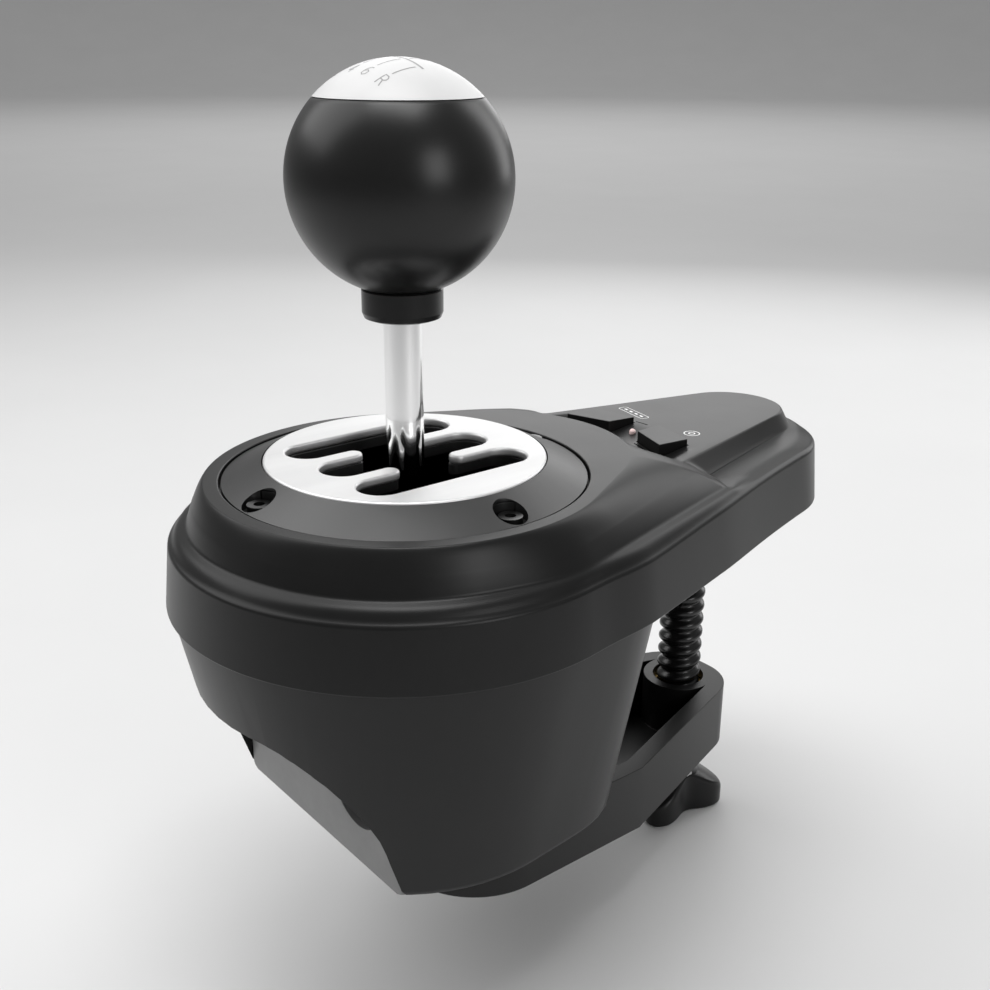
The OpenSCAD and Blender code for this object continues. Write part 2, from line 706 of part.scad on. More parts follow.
cover_t = 3;
bottom_edge = 2.4;
cover_spots = [[38, lever_y + 15], [-38, lever_y + 15], [38, lever_y - 15], [-38, lever_y - 15]];
spigot_h = 8;
spigot_r = band_r - wall + 0.2;
cover_boss_r = 5;
module lower_case() {
    color([0.1, 0.1, 0.105]) difference() {
        union() {
            difference() {
                casing_cone(casing_z, case_z, 0, bottom_edge);
                arch_prism(0, panel_y + wall, casing_z - pass);
                difference() {
                    casing_cone(casing_z - pass, case_z + pass, wall);
                    arch_prism(wall, panel_y + wall, casing_z - 2 * pass);
                }
            }
            difference() {
                collar_ring(spigot_r, spigot_r - wall, case_z - 6, case_z + spigot_h);
                behind(lever_y + rear_reach - wall, case_z - 7, case_z + spigot_h + pass);
            }
            for (a = case_angles) translate([case_post_ring * sin(a),
                lever_y + case_post_ring * cos(a), case_tab_z]) {
                cylinder(r = case_post_r, h = case_tab_h, $fn = 32);
                rotate([0, 0, 90 - a]) translate([0, -case_post_r, 0])
                    cube([5.2, 2 * case_post_r, case_tab_h]);
            }
            for (p = cover_spots) translate([p[0], p[1], casing_z + cover_t]) {
                cylinder(r = cover_boss_r, h = 11, $fn = 32);
                rotate([0, 0, atan2(p[1] - lever_y, p[0])]) translate([0, -1.5, 0])
                    cube([casing_line(atan2(p[0], p[1] - lever_y), casing_z + cover_t)
                        - norm([p[0], p[1] - lever_y]) - 0.4 * wall, 3, 11]);
            }
        }
        for (a = case_angles) rod(case_post_ring * sin(a), lever_y + case_post_ring * cos(a),
            case_tab_z - pass, case_tab_z + case_tab_h + pass, bolt_hole_r);
        for (p = cover_spots) rod(p[0], p[1], casing_z + cover_t - pass,
            casing_z + cover_t + 9, bolt_hole_r);
    }
}

module case_screws() {
    color([0.5, 0.5, 0.52]) for (a = case_angles)
        screw_up(case_post_ring * sin(a), lever_y + case_post_ring * cos(a),
            case_tab_z - head_h, case_tab_z + case_tab_h + 6);
}

panel_t = wall;
panel_boss = 1.4;
panel_hole_z = casing_z + panel_hole_up;
module along_y(x, from_y, to_y, z, r) {
    translate([x, to_y, z]) rotate([90, 0, 0]) cylinder(r = r, h = to_y - from_y, $fn = 32);
}

function recess_at(side) = side > 0 ? recess_r : panel_hole_r;
module front_panel() {
    color([0.17, 0.17, 0.175]) difference() {
        union() {
            intersection() {
                arch_prism(-seat_gap, panel_y + panel_t, casing_z);
                behind(panel_y, casing_z, case_z);
                casing_cone(casing_z, case_z, 0, bottom_edge);
            }
            for (s = [1, -1]) along_y(s * panel_hole_x, panel_y + 1, panel_y + panel_t + panel_boss,
                panel_hole_z, recess_at(s) + 1.6);
        }
        for (s = [1, -1]) {
            along_y(s * panel_hole_x, panel_y - pass, panel_y + panel_t + 0.4, panel_hole_z,
                recess_at(s));
            along_y(s * panel_hole_x, panel_y, panel_y + panel_t + panel_boss + pass,
                panel_hole_z, bolt_hole_r);
        }
    }
}

module panel_screws() {
    color([0.4, 0.4, 0.42]) for (s = [1, -1]) {
        along_y(s * panel_hole_x, panel_y + panel_t + 0.4 - head_h, panel_y + panel_t + 0.4,
            panel_hole_z, head_r);
        along_y(s * panel_hole_x, panel_y + panel_t, frame_front_y + frame_t + 1,
            panel_hole_z, bolt_r);
    }
}

module bottom_cover() {
    color([0.08, 0.08, 0.085]) difference() {
        intersection() {
            at_lever(casing_z) linear_extrude(height = cover_t) polygon([for (i = [0:rays - 1])
                (casing_line(ray_angle(i), casing_z) - wall - shell_gap)
                    * [sin(ray_angle(i)), cos(ray_angle(i))]]);
            behind(panel_y + panel_t + seat_gap, casing_z, casing_z + cover_t);
        }
        for (p = cover_spots) {
            rod(p[0], p[1], casing_z - pass, casing_z + cover_t + pass, bolt_hole_r);
            rod(p[0], p[1], casing_z - pass, casing_z + head_h + 0.1, head_r + 0.3);
        }
        for (p = arm_spots) rod(p[0], p[1], casing_z - pass, casing_z + cover_t + pass,
            arm_bolt_r + 0.1);
    }
}

module cover_screws() {
    color([0.35, 0.35, 0.37]) for (p = cover_spots)
        screw_up(p[0], p[1], casing_z + 0.1, casing_z + cover_t + 8);
}

// Clamp arm: a tray whose outline is inset evenly for its inside
arm_front_y = lever_y - arm_front;
arm_line = arm_end_half * cos(arm_taper) - arm_end_back * sin(arm_taper) + arm_end_r;
arm_spots = [[20, lever_y + 3], [-20, lever_y + 3], [20, lever_y + 22], [-20, lever_y + 22]];
arm_bolt_r = 2;
insert_r = 9.2;
insert_gap = 0.06;
boss_top = casing_z - 3;
boss_r = insert_r + 2.4;
module arm_plan(inset) {
    half = arm_half - inset;
    end_r = arm_end_r - inset;
    corner = arm_corner_r - inset;
    corner_x = arm_half - arm_corner_r;
    corner_y = arm_front_y + arm_corner_r;
    knee_y = (arm_line - inset - half * cos(arm_taper)) / sin(arm_taper);
    side = [
        [corner_x, corner_y - corner],
        [half, corner_y],
        [half, knee_y],
        [arm_end_half + end_r * cos(arm_taper), end_r * sin(arm_taper) - arm_end_back],
        [arm_end_half, end_r - arm_end_back]
    ];
    for (s = [1, -1]) {
        translate([s * corner_x, corner_y]) circle(r = corner);
        translate([s * arm_end_half, -arm_end_back]) circle(r = end_r);
    }
    polygon([
        side[0], [corner_x, corner_y], side[1], side[2], side[3], side[4],
        [-side[4][0], side[4][1]], [-side[3][0], side[3][1]], [-side[2][0], side[2][1]],
        [-side[1][0], side[1][1]], [-corner_x, corner_y], [-side[0][0], side[0][1]]
    ]);
}

module clamp_arm() {
    color([0.08, 0.08, 0.085]) difference() {
        union() {
            difference() {
                translate([0, 0, arm_z]) linear_extrude(height = arm_h) arm_plan(0);
                translate([0, 0, arm_z + arm_floor]) linear_extrude(height = arm_h)
                    arm_plan(arm_wall);
            }
            rod(0, 0, arm_z + 1, casing_z, boss_r);
            for (p = arm_spots) rod(p[0], p[1], arm_z + 1, casing_z, 5.2);
        }
        rod(0, 0, arm_z - pass, boss_top, insert_r + 0.05);
        rod(0, 0, boss_top - pass, casing_z + pass, screw_r + 1.2);
        for (p = arm_spots) {
            rod(p[0], p[1], arm_z - pass, casing_z + pass, arm_bolt_r + 0.1);
            rod(p[0], p[1], arm_z - pass, arm_z + 6, 4.1);
        }
    }
}

module arm_screws() {
    color([0.4, 0.4, 0.42]) for (p = arm_spots) difference() {
        union() {
            rod(p[0], p[1], arm_z + 6 - 3.4, arm_z + 6, 3.7);
            rod(p[0], p[1], arm_z + 5, casing_z + cover_t + 0.1 + frame_t, arm_bolt_r);
        }
        translate([p[0], p[1], arm_z]) cylinder(r = 1.8, h = 4.4, $fn = 6);
    }
}

module thread_insert() {
    color([0.3, 0.26, 0.16]) translate([0, 0, arm_z + 0.3]) difference() {
        cylinder(r = insert_r, h = boss_top - arm_z - 0.6);
        translate([0, 0, -pass]) cylinder(r = screw_r + insert_gap, h = arm_h + 2 * pass);
    }
}

// Pivot frame: a base plate with two uprights that carry the cradle's pins
frame_z = casing_z + cover_t + 0.1;
frame_front_y = panel_y + panel_t + panel_boss;
upright_out = 25.5;
frame_back_y = lever_y + upright_out;
upright_t = 5;
upright_half = 12;
upright_top = pivot_z + 10;
base_half = 30;
bracket_half = 27;
module pivot_frame() {
    color([0.6, 0.61, 0.63]) difference() {
        union() {
            translate([-base_half, frame_front_y, frame_z])
                cube([2 * base_half, frame_back_y + 3 - frame_front_y, frame_t]);
            translate([-bracket_half, frame_front_y, frame_z])
                cube([2 * bracket_half, frame_t, panel_hole_up + 3]);
            for (y = [lever_y - upright_out, frame_back_y - upright_t])
                translate([-upright_half, y, frame_z])
                    cube([2 * upright_half, upright_t, upright_top - frame_z]);
        }
        along_y(0, frame_front_y - pass, frame_back_y + pass, pivot_z, pin_r + run_gap);
        for (p = arm_spots) rod(p[0], p[1], frame_z - pass, frame_z + frame_t + pass,
            arm_bolt_r + 0.1);
        for (s = [1, -1]) along_y(s * panel_hole_x, frame_front_y - pass,
            frame_front_y + frame_t + pass, panel_hole_z, bolt_hole_r);
    }
}

module sensor_board() {
    color([0.05, 0.25, 0.12]) translate([-9, lever_y - 8, frame_z + frame_t])
        cube([18, 16, board_t]);
    color([0.08, 0.08, 0.08]) translate([-2, lever_y - 2, frame_z + frame_t + board_t])
        cube([4, 4, sensor_h]);
}

// Helical spring along Z, from low to high
module coil(mean_r, wire_r, turns, low, high) {
    steps = 12;
    sides = 6;
    count = turns * steps;
    rise = (high - low - 2 * wire_r) / count;
    points = [for (i = [0:count]) for (k = [0:sides - 1]) let(
        a = 360 * i / steps,
        r = mean_r + wire_r * cos(360 * k / sides)
    ) [r * cos(a), r * sin(a), low + wire_r + rise * i + wire_r * sin(360 * k / sides)]];
    function at(i, k) = i * sides + k % sides;
    skin = [for (i = [0:count - 1]) for (k = [0:sides - 1]) for (half = [0, 1])
        half == 0 ? [at(i, k), at(i, k + 1), at(i + 1, k + 1)]
            : [at(i, k), at(i + 1, k + 1), at(i + 1, k)]];
    start = [for (k = [sides - 1:-1:0]) at(0, k)];
    finish = [for (k = [0:sides - 1]) at(count, k)];
    polyhedron(points = points, faces = concat([start, finish], skin), convexity = 8);
}

cradle_half_x = 21;
cradle_in_x = 15.5;
cradle_half_y = 19.5;
cradle_in_y = 14.5;
cradle_half_h = 6;
centring_x = cradle_half_x - 4;
centring_y = (cradle_half_y + cradle_in_y) / 2 + 0.4;
module centring_spring(side) {
    color([0.7, 0.7, 0.72]) translate([side * centring_x, lever_y - centring_y, 0])
        coil(3.2, 0.6, 7, frame_z + frame_t, pivot_z - cradle_half_h - 0.1);
}

module centring_spring_left() {
    centring_spring(-1);
}

module centring_spring_right() {
    centring_spring(1);
}

// Selector cradle: a ring that tilts left and right around the Y axis
detent_y = lever_y + 9;
detent_x = 28;
module along_x(from_x, to_x, y, z, r) {
    translate([from_x, y, z]) rotate([0, 90, 0]) cylinder(r = r, h = to_x - from_x, $fn = 32);
}

module selector_cradle() {
    color([0.75, 0.73, 0.68]) difference() {
        union() {
            translate([-cradle_half_x, lever_y - cradle_half_y, pivot_z - cradle_half_h])
                cube([2 * cradle_half_x, 2 * cradle_half_y, 2 * cradle_half_h]);
            along_x(cradle_half_x - 1, detent_x, detent_y, pivot_z, 4);
        }
        translate([-cradle_in_x, lever_y - cradle_in_y, pivot_z - 10])
            cube([2 * cradle_in_x, 2 * cradle_in_y, 20]);
        along_y(0, lever_y - 30, lever_y + 30, pivot_z, pin_r + 0.02);
        along_x(-30, 30, lever_y, pivot_z, throw_pin_r + 0.02);
        along_x(cradle_in_x - pass, detent_x + pass, detent_y, pivot_z, 2 + run_gap);
    }
}

module cradle_pins() {
    color([0.78, 0.78, 0.8]) {
        along_y(0, lever_y - upright_out + 0.5, lever_y - cradle_in_y, pivot_z, pin_r);
        along_y(0, lever_y + cradle_in_y, lever_y + upright_out - 0.5, pivot_z, pin_r);
    }
}

block_half_x = 15;
block_half_y = 10;
block_low = pivot_z - 12;
block_top = pivot_z + 14;
neck_r = 10;
neck_in_r = 8.2;
throw_pin_r = pin_r - 0.5;
module throw_pins() {
    color([0.78, 0.78, 0.8]) for (s = [1, -1])
        along_x(s > 0 ? 7.5 : -cradle_half_x, s > 0 ? cradle_half_x : -7.5, lever_y, pivot_z,
            throw_pin_r);
}

// Detent in the cradle's side: plunger, spring and cap in one line
// The spring's end lies in the hollow plunger and leaves it room to move
plunger_r = 2;
plunger_tip = block_half_x + 0.35;
plunger_floor = plunger_tip + 3.2;
plunger_end = plunger_tip + 7.6;
detent_travel = 1.2;
module detent_plunger() {
    color([0.7, 0.7, 0.72]) difference() {
        union() {
            along_x(plunger_tip + plunger_r, plunger_end, detent_y, pivot_z, plunger_r);
            translate([plunger_tip + plunger_r, detent_y, pivot_z]) sphere(r = plunger_r, $fn = 32);
        }
        along_x(plunger_floor, plunger_end + pass, detent_y, pivot_z, plunger_r - 0.5);
    }
}

module detent_spring() {
    color([0.7, 0.7, 0.72]) translate([0, detent_y, pivot_z]) rotate([0, 90, 0])
        coil(1.05, 0.28, 6, plunger_floor + detent_travel + 0.1, detent_x - 2.05);
}

module detent_cap() {
    color([0.7, 0.7, 0.72]) along_x(detent_x - 2, detent_x, detent_y, pivot_z, 2);
}

// Lever block: swings on the throw pins; its neck carries the dust shield
shield_low = sqrt(pow(shield_r, 2) - pow(neck_r, 2));
module lever_block() {
    color([0.2, 0.2, 0.21]) difference() {
        union() {
            translate([-block_half_x, lever_y - block_half_y, block_low])
                cube([2 * block_half_x, 2 * block_half_y, block_top - block_low]);
            rod(0, lever_y, block_top - 1, pivot_z + shield_low - 0.2, neck_r);
        }
        rod(0, lever_y, block_low - pass, block_top + pass, rod_r + run_gap);
        rod(0, lever_y, block_top, pivot_z + shield_r + 2, neck_in_r);
        for (s = [1, -1]) along_x(s > 0 ? 7 : -block_half_x - pass,
            s > 0 ? block_half_x + pass : -7, lever_y, pivot_z, throw_pin_r + run_gap);
        for (t = [-throw_limit, 0, throw_limit])
            translate([block_half_x + 1.3, lever_y + (detent_y - lever_y) * cos(t),
                pivot_z + (detent_y - lever_y) * sin(t)]) sphere(r = 1.9, $fn = 32);
    }
}

module dust_shield() {
    color([0.07, 0.07, 0.07]) at_lever(pivot_z) difference() {
        intersection() {
            difference() {
                sphere(r = shield_r + shield_t, $fn = 96);
                sphere(r = shield_r, $fn = 96);
            }
            cylinder(r1 = 0, r2 = 80 * tan(shield_angle), h = 80, $fn = 96);
        }
        cylinder(r = rod_r + 0.35, h = shield_r + 10);
    }
}

// Push-down return spring between the block and the rod's collar
collar_z = pivot_z + 38;
collar_t = 3;
module push_spring() {
    color([0.7, 0.7, 0.72]) at_lever(0) coil(6.4, 0.7, 6, block_top, collar_z - 0.1);
}

sensor_h = 1;
magnet_h = 2;
rod_low = frame_z + frame_t + board_t + sensor_h + seat_gap + push_travel + magnet_h;
rod_high = plate_z + ball_rise - 8;
ball_z = plate_z + ball_rise;
collar_top = ball_z - ball_r + 1.7;
module lever_rod() {
    color([0.85, 0.86, 0.88]) union() {
        rod(0, lever_y, rod_low, rod_high, rod_r);
        rod(0, lever_y, collar_z, collar_z + collar_t, neck_in_r - 0.3);
    }
}

module rod_clip() {
    color([0.35, 0.35, 0.37]) collar_ring(rod_r + 2.4, rod_r + 0.02, block_low - 1.8,
        block_low - 0.3);
}

module lever_magnet() {
    color([0.6, 0.6, 0.62]) rod(0, lever_y, rod_low - magnet_h, rod_low, 3.6);
}

module knob_collar() {
    color([0.04, 0.04, 0.042]) at_lever(collar_top - collar_h) rotate_extrude() polygon([
        [rod_r + run_gap, 0],
        [collar_r - 1.8, 0],
        [collar_r - 0.5, 0.5],
        [collar_r, 1.8],
        [collar_r, collar_h - 0.4],
        [collar_r - 0.4, collar_h],
        [rod_r + run_gap, collar_h]
    ]);
}

insert_top = rod_high + 1.5;
knob_insert_r = 7;
module knob_insert() {
    color([0.72, 0.6, 0.3]) difference() {
        rod(0, lever_y, collar_top, insert_top, knob_insert_r);
        rod(0, lever_y, collar_top - pass, rod_high + 0.1, rod_r + run_gap);
    }
}

seam_z = ball_z + seam_rise;
cap_plug_r = 15;
cap_plug_h = 3;
module knob_body() {
    color([0.02, 0.02, 0.022]) difference() {
        at_lever(ball_z) sphere(r = ball_r, $fn = 128);
        rod(0, lever_y, ball_z - ball_r - pass, collar_top, collar_r + 3);
        at_lever(seam_z) cylinder(r = ball_r, h = ball_r, $fn = 128);
        at_lever(seam_z - cap_plug_h - 0.2) cylinder(r = cap_plug_r + 0.15, h = ball_r);
        rod(0, lever_y, collar_top - pass, insert_top + 0.1, knob_insert_r + 0.05);
    }
}

module knob_cap() {
    color([0.92, 0.92, 0.92]) union() {
        difference() {
            at_lever(ball_z) sphere(r = ball_r, $fn = 128);
            at_lever(seam_z + 0.15 - 2 * ball_r) cylinder(r = 2 * ball_r, h = 2 * ball_r);
        }
        rod(0, lever_y, seam_z - cap_plug_h, seam_z + 0.5, cap_plug_r);
    }
}

// Pressure pad on the clamp screw's ball end
pad_top = -pad_drop;
rubber_t = 2;
cup_h = 8.5;
joint_r = 5;
cup_top = pad_top - rubber_t;
joint_z = cup_top - joint_r - 0.8;
cup_z = cup_top - cup_h;
module pressure_pad() {
    color([0.06, 0.06, 0.065]) difference() {
        translate([0, 0, cup_z]) cylinder(r1 = pressure_r - 3, r2 = pressure_r, h = cup_h);
        translate([0, 0, joint_z]) sphere(r = joint_r + 0.25);
    }
}

module pad_rubber() {
    color([0.03, 0.03, 0.03]) rod(0, 0, cup_top, pad_top, pressure_r - 0.5);
}

// Clamp screw: rounded thread ridges on a core, ball at the top, shank in the hand knob
hand_knob_z = arm_z - knob_drop;
thread_low = hand_knob_z + 17;
thread_high = cup_z - 2.5;
thread_steps = 8;
function ridge(z) = screw_r - thread_depth * (1 - cos(360 * z / screw_pitch)) / 2;
module clamp_screw() {
    count = floor((thread_high - thread_low) / screw_pitch * thread_steps);
    color([0.05, 0.05, 0.052]) union() {
        rotate_extrude() polygon(concat(
            [[0, thread_low]],
            [for (i = [0:count]) let(z = i * screw_pitch / thread_steps)
                [ridge(z), thread_low + z]],
            [[0, thread_low + count * screw_pitch / thread_steps]]
        ));
        rod(0, 0, hand_knob_z + 3, thread_low + 1, 5);
        rod(0, 0, thread_high - screw_pitch, joint_z, 3.6);
        translate([0, 0, joint_z]) sphere(r = joint_r, $fn = 48);
    }
}

// Hand knob with three lobes that slope down to their tips
lobes = 3;
lobe_steps = 72;
hub_r = 8.2;
hub_top = hand_knob_z + 16.9;
function lobe_at(a) = let(t = (1 + cos(lobes * (a - lobe_turn))) / 2)
    hollow_r + (lobe_r - hollow_r) * (0.45 * t + 0.55 * t * t);
module hand_knob() {
    color([0.05, 0.05, 0.052]) difference() {
        union() {
            intersection() {
                translate([0, 0, hand_knob_z]) linear_extrude(height = 15)
                    polygon([for (i = [0:lobe_steps - 1]) let(a = 360 * i / lobe_steps)
                        lobe_at(a) * [cos(a), sin(a)]]);
                translate([0, 0, hand_knob_z - 1])
                    cylinder(r1 = lobe_r + 11.9, r2 = hub_r, h = 15.6);
            }
            rod(0, 0, hand_knob_z + 0.5, hub_top, hub_r);
        }
        rod(0, 0, hand_knob_z + 2.9, hub_top + pass, 5.05);
        along_x(-hub_r - 3, hub_r + 3, 0, hand_knob_z + 15.2, 1.3);
    }
}

module hand_knob_pin() {
    color([0.6, 0.6, 0.62]) for (s = [1, -1])
        along_x(s > 0 ? 5.1 : -hub_r, s > 0 ? hub_r : -5.1, 0, hand_knob_z + 15.2, 1.25);
}

top_case();
gate_plate();
gate_guide();
gate_bezel();
bezel_screws();
status_light();
button_left();
button_right();
main_board();
button_switches();
board_screws();
data_socket();
tail_base();
tail_screws();
desk_pad();
lower_case();
case_screws();
front_panel();
panel_screws();
bottom_cover();
cover_screws();
clamp_arm();
arm_screws();
thread_insert();
pivot_frame();
sensor_board();
centring_spring_left();
centring_spring_right();
selector_cradle();
cradle_pins();
throw_pins();
detent_spring();
detent_cap();
detent_plunger();
lever_block();
dust_shield();
push_spring();
lever_rod();
rod_clip();
lever_magnet();
knob_collar();
knob_insert();
knob_body();
knob_cap();
pressure_pad();
pad_rubber();
clamp_screw();
hand_knob();
hand_knob_pin();
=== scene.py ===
"""Looks of the desk-clamped gear shifter: finer pieces, materials, light and camera."""

import json
import math

import bmesh
import bpy
from mathutils import Matrix, Vector


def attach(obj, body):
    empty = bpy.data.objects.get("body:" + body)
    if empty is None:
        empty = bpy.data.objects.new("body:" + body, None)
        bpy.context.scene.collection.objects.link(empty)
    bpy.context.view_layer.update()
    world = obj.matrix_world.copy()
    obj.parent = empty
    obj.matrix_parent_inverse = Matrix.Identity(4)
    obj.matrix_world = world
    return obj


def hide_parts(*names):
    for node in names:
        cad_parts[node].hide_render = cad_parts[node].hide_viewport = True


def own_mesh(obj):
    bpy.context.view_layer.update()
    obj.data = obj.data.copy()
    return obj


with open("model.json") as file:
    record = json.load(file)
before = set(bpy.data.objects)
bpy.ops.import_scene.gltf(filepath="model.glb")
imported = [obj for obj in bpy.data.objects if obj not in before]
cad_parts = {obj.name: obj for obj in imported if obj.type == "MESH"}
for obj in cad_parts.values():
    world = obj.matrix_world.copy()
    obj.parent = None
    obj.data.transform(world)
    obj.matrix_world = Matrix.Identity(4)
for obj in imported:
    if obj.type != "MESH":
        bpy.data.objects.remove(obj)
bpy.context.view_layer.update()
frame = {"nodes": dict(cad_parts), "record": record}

MM = 0.001
NODES = frame["nodes"]
SLOT_OF = {part["node"]: part["material_slot"] for part in frame["record"]["subparts"]}
BODY_OF = {}
for body_name, members in frame["record"]["behaviour"]["bodies"].items():
    for member in members:
        BODY_OF[member] = body_name

# Sizes of the upper case in millimetres, as in the solids
LEVER_Y = -110.0
CASE_Z, BAND_Z, FOOT_Z, RING_Z = 1.0, 18.2, 21.6, 32.3
BAND_R, TAIL_R, TAIL_REACH, BAND_FLARE, BAND_EDGE = 61.1, 32.0, 118.4, 1.8, 0.9
SIDE_SWELL, TAIL_LIFT = 2.4, 1.6
FOOT_R, FOOT_SWELL, NOSE_R, SHOULDER_CURVE = 56.3, 2.2, 89.0, 1.5
RING_R, RING_TIP_R, RING_REACH = 51.4, 38.5, 27.0
ISLAND_Z, ISLAND_R, ISLAND_TIP_R, ISLAND_REACH = 27.4, 45.8, 16.4, 126.1
ISLAND_SPREAD, FOOT_TIP_R, FOOT_REACH = 6.5, 17.2, 129.5
VALLEY_Z, VALLEY_RUN = 26.1, 9.0
WALL = 2.6
SEAT_Z, SEAT_LOW, SEAT_IN_R, SEAT_OUT_R = 29.5, 24.0, 38.0, 50.6
RECESS_R = 47.65

# Angles from +Y in degrees over which a line of the case changes
SWELL_RISES, SWELL_FALLS = (14, 34), (58, 80)
LIFT_FALLS, FOOT_RISES, NOSE_TURNS = (20, 60), (75, 105), (14, 23)

# Widths of the top's slopes, each also limited to a share of the top at that angle
FLAT_RUN, LOW_RUN, SLOPE_RUN = 2.6 * VALLEY_RUN, 1.5 * VALLEY_RUN, 0.7 * VALLEY_RUN
FLAT_SHARE, LOW_SHARE, SLOPE_SHARE = 0.75, 0.5, 0.25
WALL_SHARE, RIM_SHARE, LEDGE_SHARE = 0.3, 0.62, 0.35
LEAST_WALL, RIM_STEP, RIM_STEP_SHARE = 0.3, 0.8, 0.3
RIM_BLEND, VALLEY_BLEND, VALLEY_BLEND_RUN = 0.5, 0.5, 3

# The band's upper edge: share of its flare just below it, and how far below
TURN_FLARE, TURN_DROP = 0.08, 0.9 * BAND_EDGE

# How far the inner surface lies inside the outer one, and the least width of its steps
FOOT_INSET, SIDE_INSET, RIM_INSET, TOP_INSET = 1.4 * WALL, 1.2 * WALL, 0.8 * WALL, 0.3 * WALL
SIDE_SINK, INNER_STEP, SEAT_STEP = 0.9 * WALL, 0.2, 0.05


# Lines of the upper case, a degrees from +Y around the lever's axis

def drop(a, big_r, tip_r, reach):
    """Distance from the lever's axis to a teardrop outline."""
    lean = math.asin((big_r - tip_r) / reach)
    b = math.radians(abs(a))
    join = math.atan2(tip_r * math.cos(lean), reach + tip_r * math.sin(lean))
    if b >= math.pi / 2 - lean:
        return big_r
    if b >= join:
        return big_r / math.sin(b + lean)
    return reach * math.cos(b) + math.sqrt(tip_r ** 2 - (reach * math.sin(b)) ** 2)


def ease(low, high, v):
    t = min(max((v - low) / (high - low), 0.0), 1.0)
    return t * t * (3 - 2 * t)


def swell(a):
    return SIDE_SWELL * ease(*SWELL_RISES, abs(a)) * (1 - ease(*SWELL_FALLS, abs(a)))


def band_at(a, grow):
    return drop(a, BAND_R + grow, TAIL_R + grow, TAIL_REACH) + swell(a)


def band_top(a):
    return BAND_Z + TAIL_LIFT * (1 - ease(*LIFT_FALLS, abs(a)))


def ring_at(a):
    return drop(a, RING_R, RING_TIP_R, RING_REACH)


def shoulder_foot(a):
    inset = BAND_R - FOOT_R - FOOT_SWELL * (1 - ease(*FOOT_RISES, abs(a)))
    side = min(NOSE_R, drop(a, BAND_R - inset, TAIL_R - inset, TAIL_REACH))
    valley = ring_at(a) + VALLEY_RUN
    return valley + (side - valley) * ease(*NOSE_TURNS, abs(a))


def shoulder_z(a, r):
    """Height of the rounded shoulder at radius r."""
    t = (shoulder_foot(a) - r) / (shoulder_foot(a) - ring_at(a))
    rise = 1 - (1 - min(t, 1)) ** SHOULDER_CURVE if t > 0 else 0
    return FOOT_Z + (RING_Z - FOOT_Z) * rise


def smooth_max(a, b, reach):
    """The larger of two values, with a soft change over a reach between them."""
    return (a + b + math.hypot(a - b, reach)) / 2


class TopLines:
    """Radii at which the case's top changes its slope at angle a."""

    def __init__(self, a):
        island_foot = drop(a, ISLAND_R + ISLAND_SPREAD, FOOT_TIP_R, FOOT_REACH)
        self.ring = ring_at(a)
        self.foot = max(shoulder_foot(a), island_foot)
        run = self.foot - self.ring
        wall = max(island_foot, self.foot - WALL_SHARE * run)
        self.wall = min(wall, self.foot - LEAST_WALL)
        island = drop(a, ISLAND_R, ISLAND_TIP_R, ISLAND_REACH)
        self.rim = max(island, self.foot - RIM_SHARE * run)
        top = self.rim - self.ring
        self.flat = self.ring + min(FLAT_RUN, FLAT_SHARE * top)
        self.low = self.ring + min(LOW_RUN, LOW_SHARE * top)
        self.slope = self.ring + min(SLOPE_RUN, SLOPE_SHARE * top)

    def stops(self):
        """Radii from the foot to the ring, with the number of steps up to each."""
        step = min(RIM_STEP, RIM_STEP_SHARE * (self.wall - self.rim),
                   RIM_STEP_SHARE * (self.rim - self.flat))
        return [(self.foot, 0), (self.wall, 4), (self.rim + step, 7), (self.rim - step, 6),
                (self.flat, 4), (self.low, 5), (self.slope, 5), (self.ring, 9)]

    def height(self, a, r):
        """Height of the top at radius r: the island, the valley and the shoulder joined."""
        wall_z = shoulder_z(a, self.wall)
        if r > self.wall:
            side = FOOT_Z + (wall_z - FOOT_Z) * (self.foot - r) / (self.foot - self.wall)
        else:
            side = ISLAND_Z + (self.rim - r) * (ISLAND_Z - wall_z) / (self.wall - self.rim)
        floor = (VALLEY_Z + (ISLAND_Z - VALLEY_Z) * ease(self.low, self.flat, r)
                 + (RING_Z - VALLEY_Z) * (1 - ease(self.ring, self.slope, r)))
        island = -smooth_max(-side, -floor, RIM_BLEND)
        blend = VALLEY_BLEND * ease(0, VALLEY_BLEND_RUN, r - self.ring)
        return smooth_max(island, shoulder_z(a, r), blend)


def rounded(corners, steps=4, most=0.48):
    """Line through corners (radius, height, reach), each one curved over its own reach.

    A curve takes at most a share of the sides beside it.
    """
    places = [Vector(corner[:2]) for corner in corners]
    out = [corners[0][:2]]
    for before, here, after, corner in zip(places, places[1:], places[2:], corners[1:]):
        to_before = before - here
        to_after = after - here
        cut = min(corner[2], most * to_before.length, most * to_after.length)
        start = here + to_before.normalized() * cut
        end = here + to_after.normalized() * cut
        for i in range(steps + 1):
            t = i / steps
            p = start * (1 - t) ** 2 + here * 2 * t * (1 - t) + end * t ** 2
            out.append((p.x, p.y))
    out.append(corners[-1][:2])
    return out


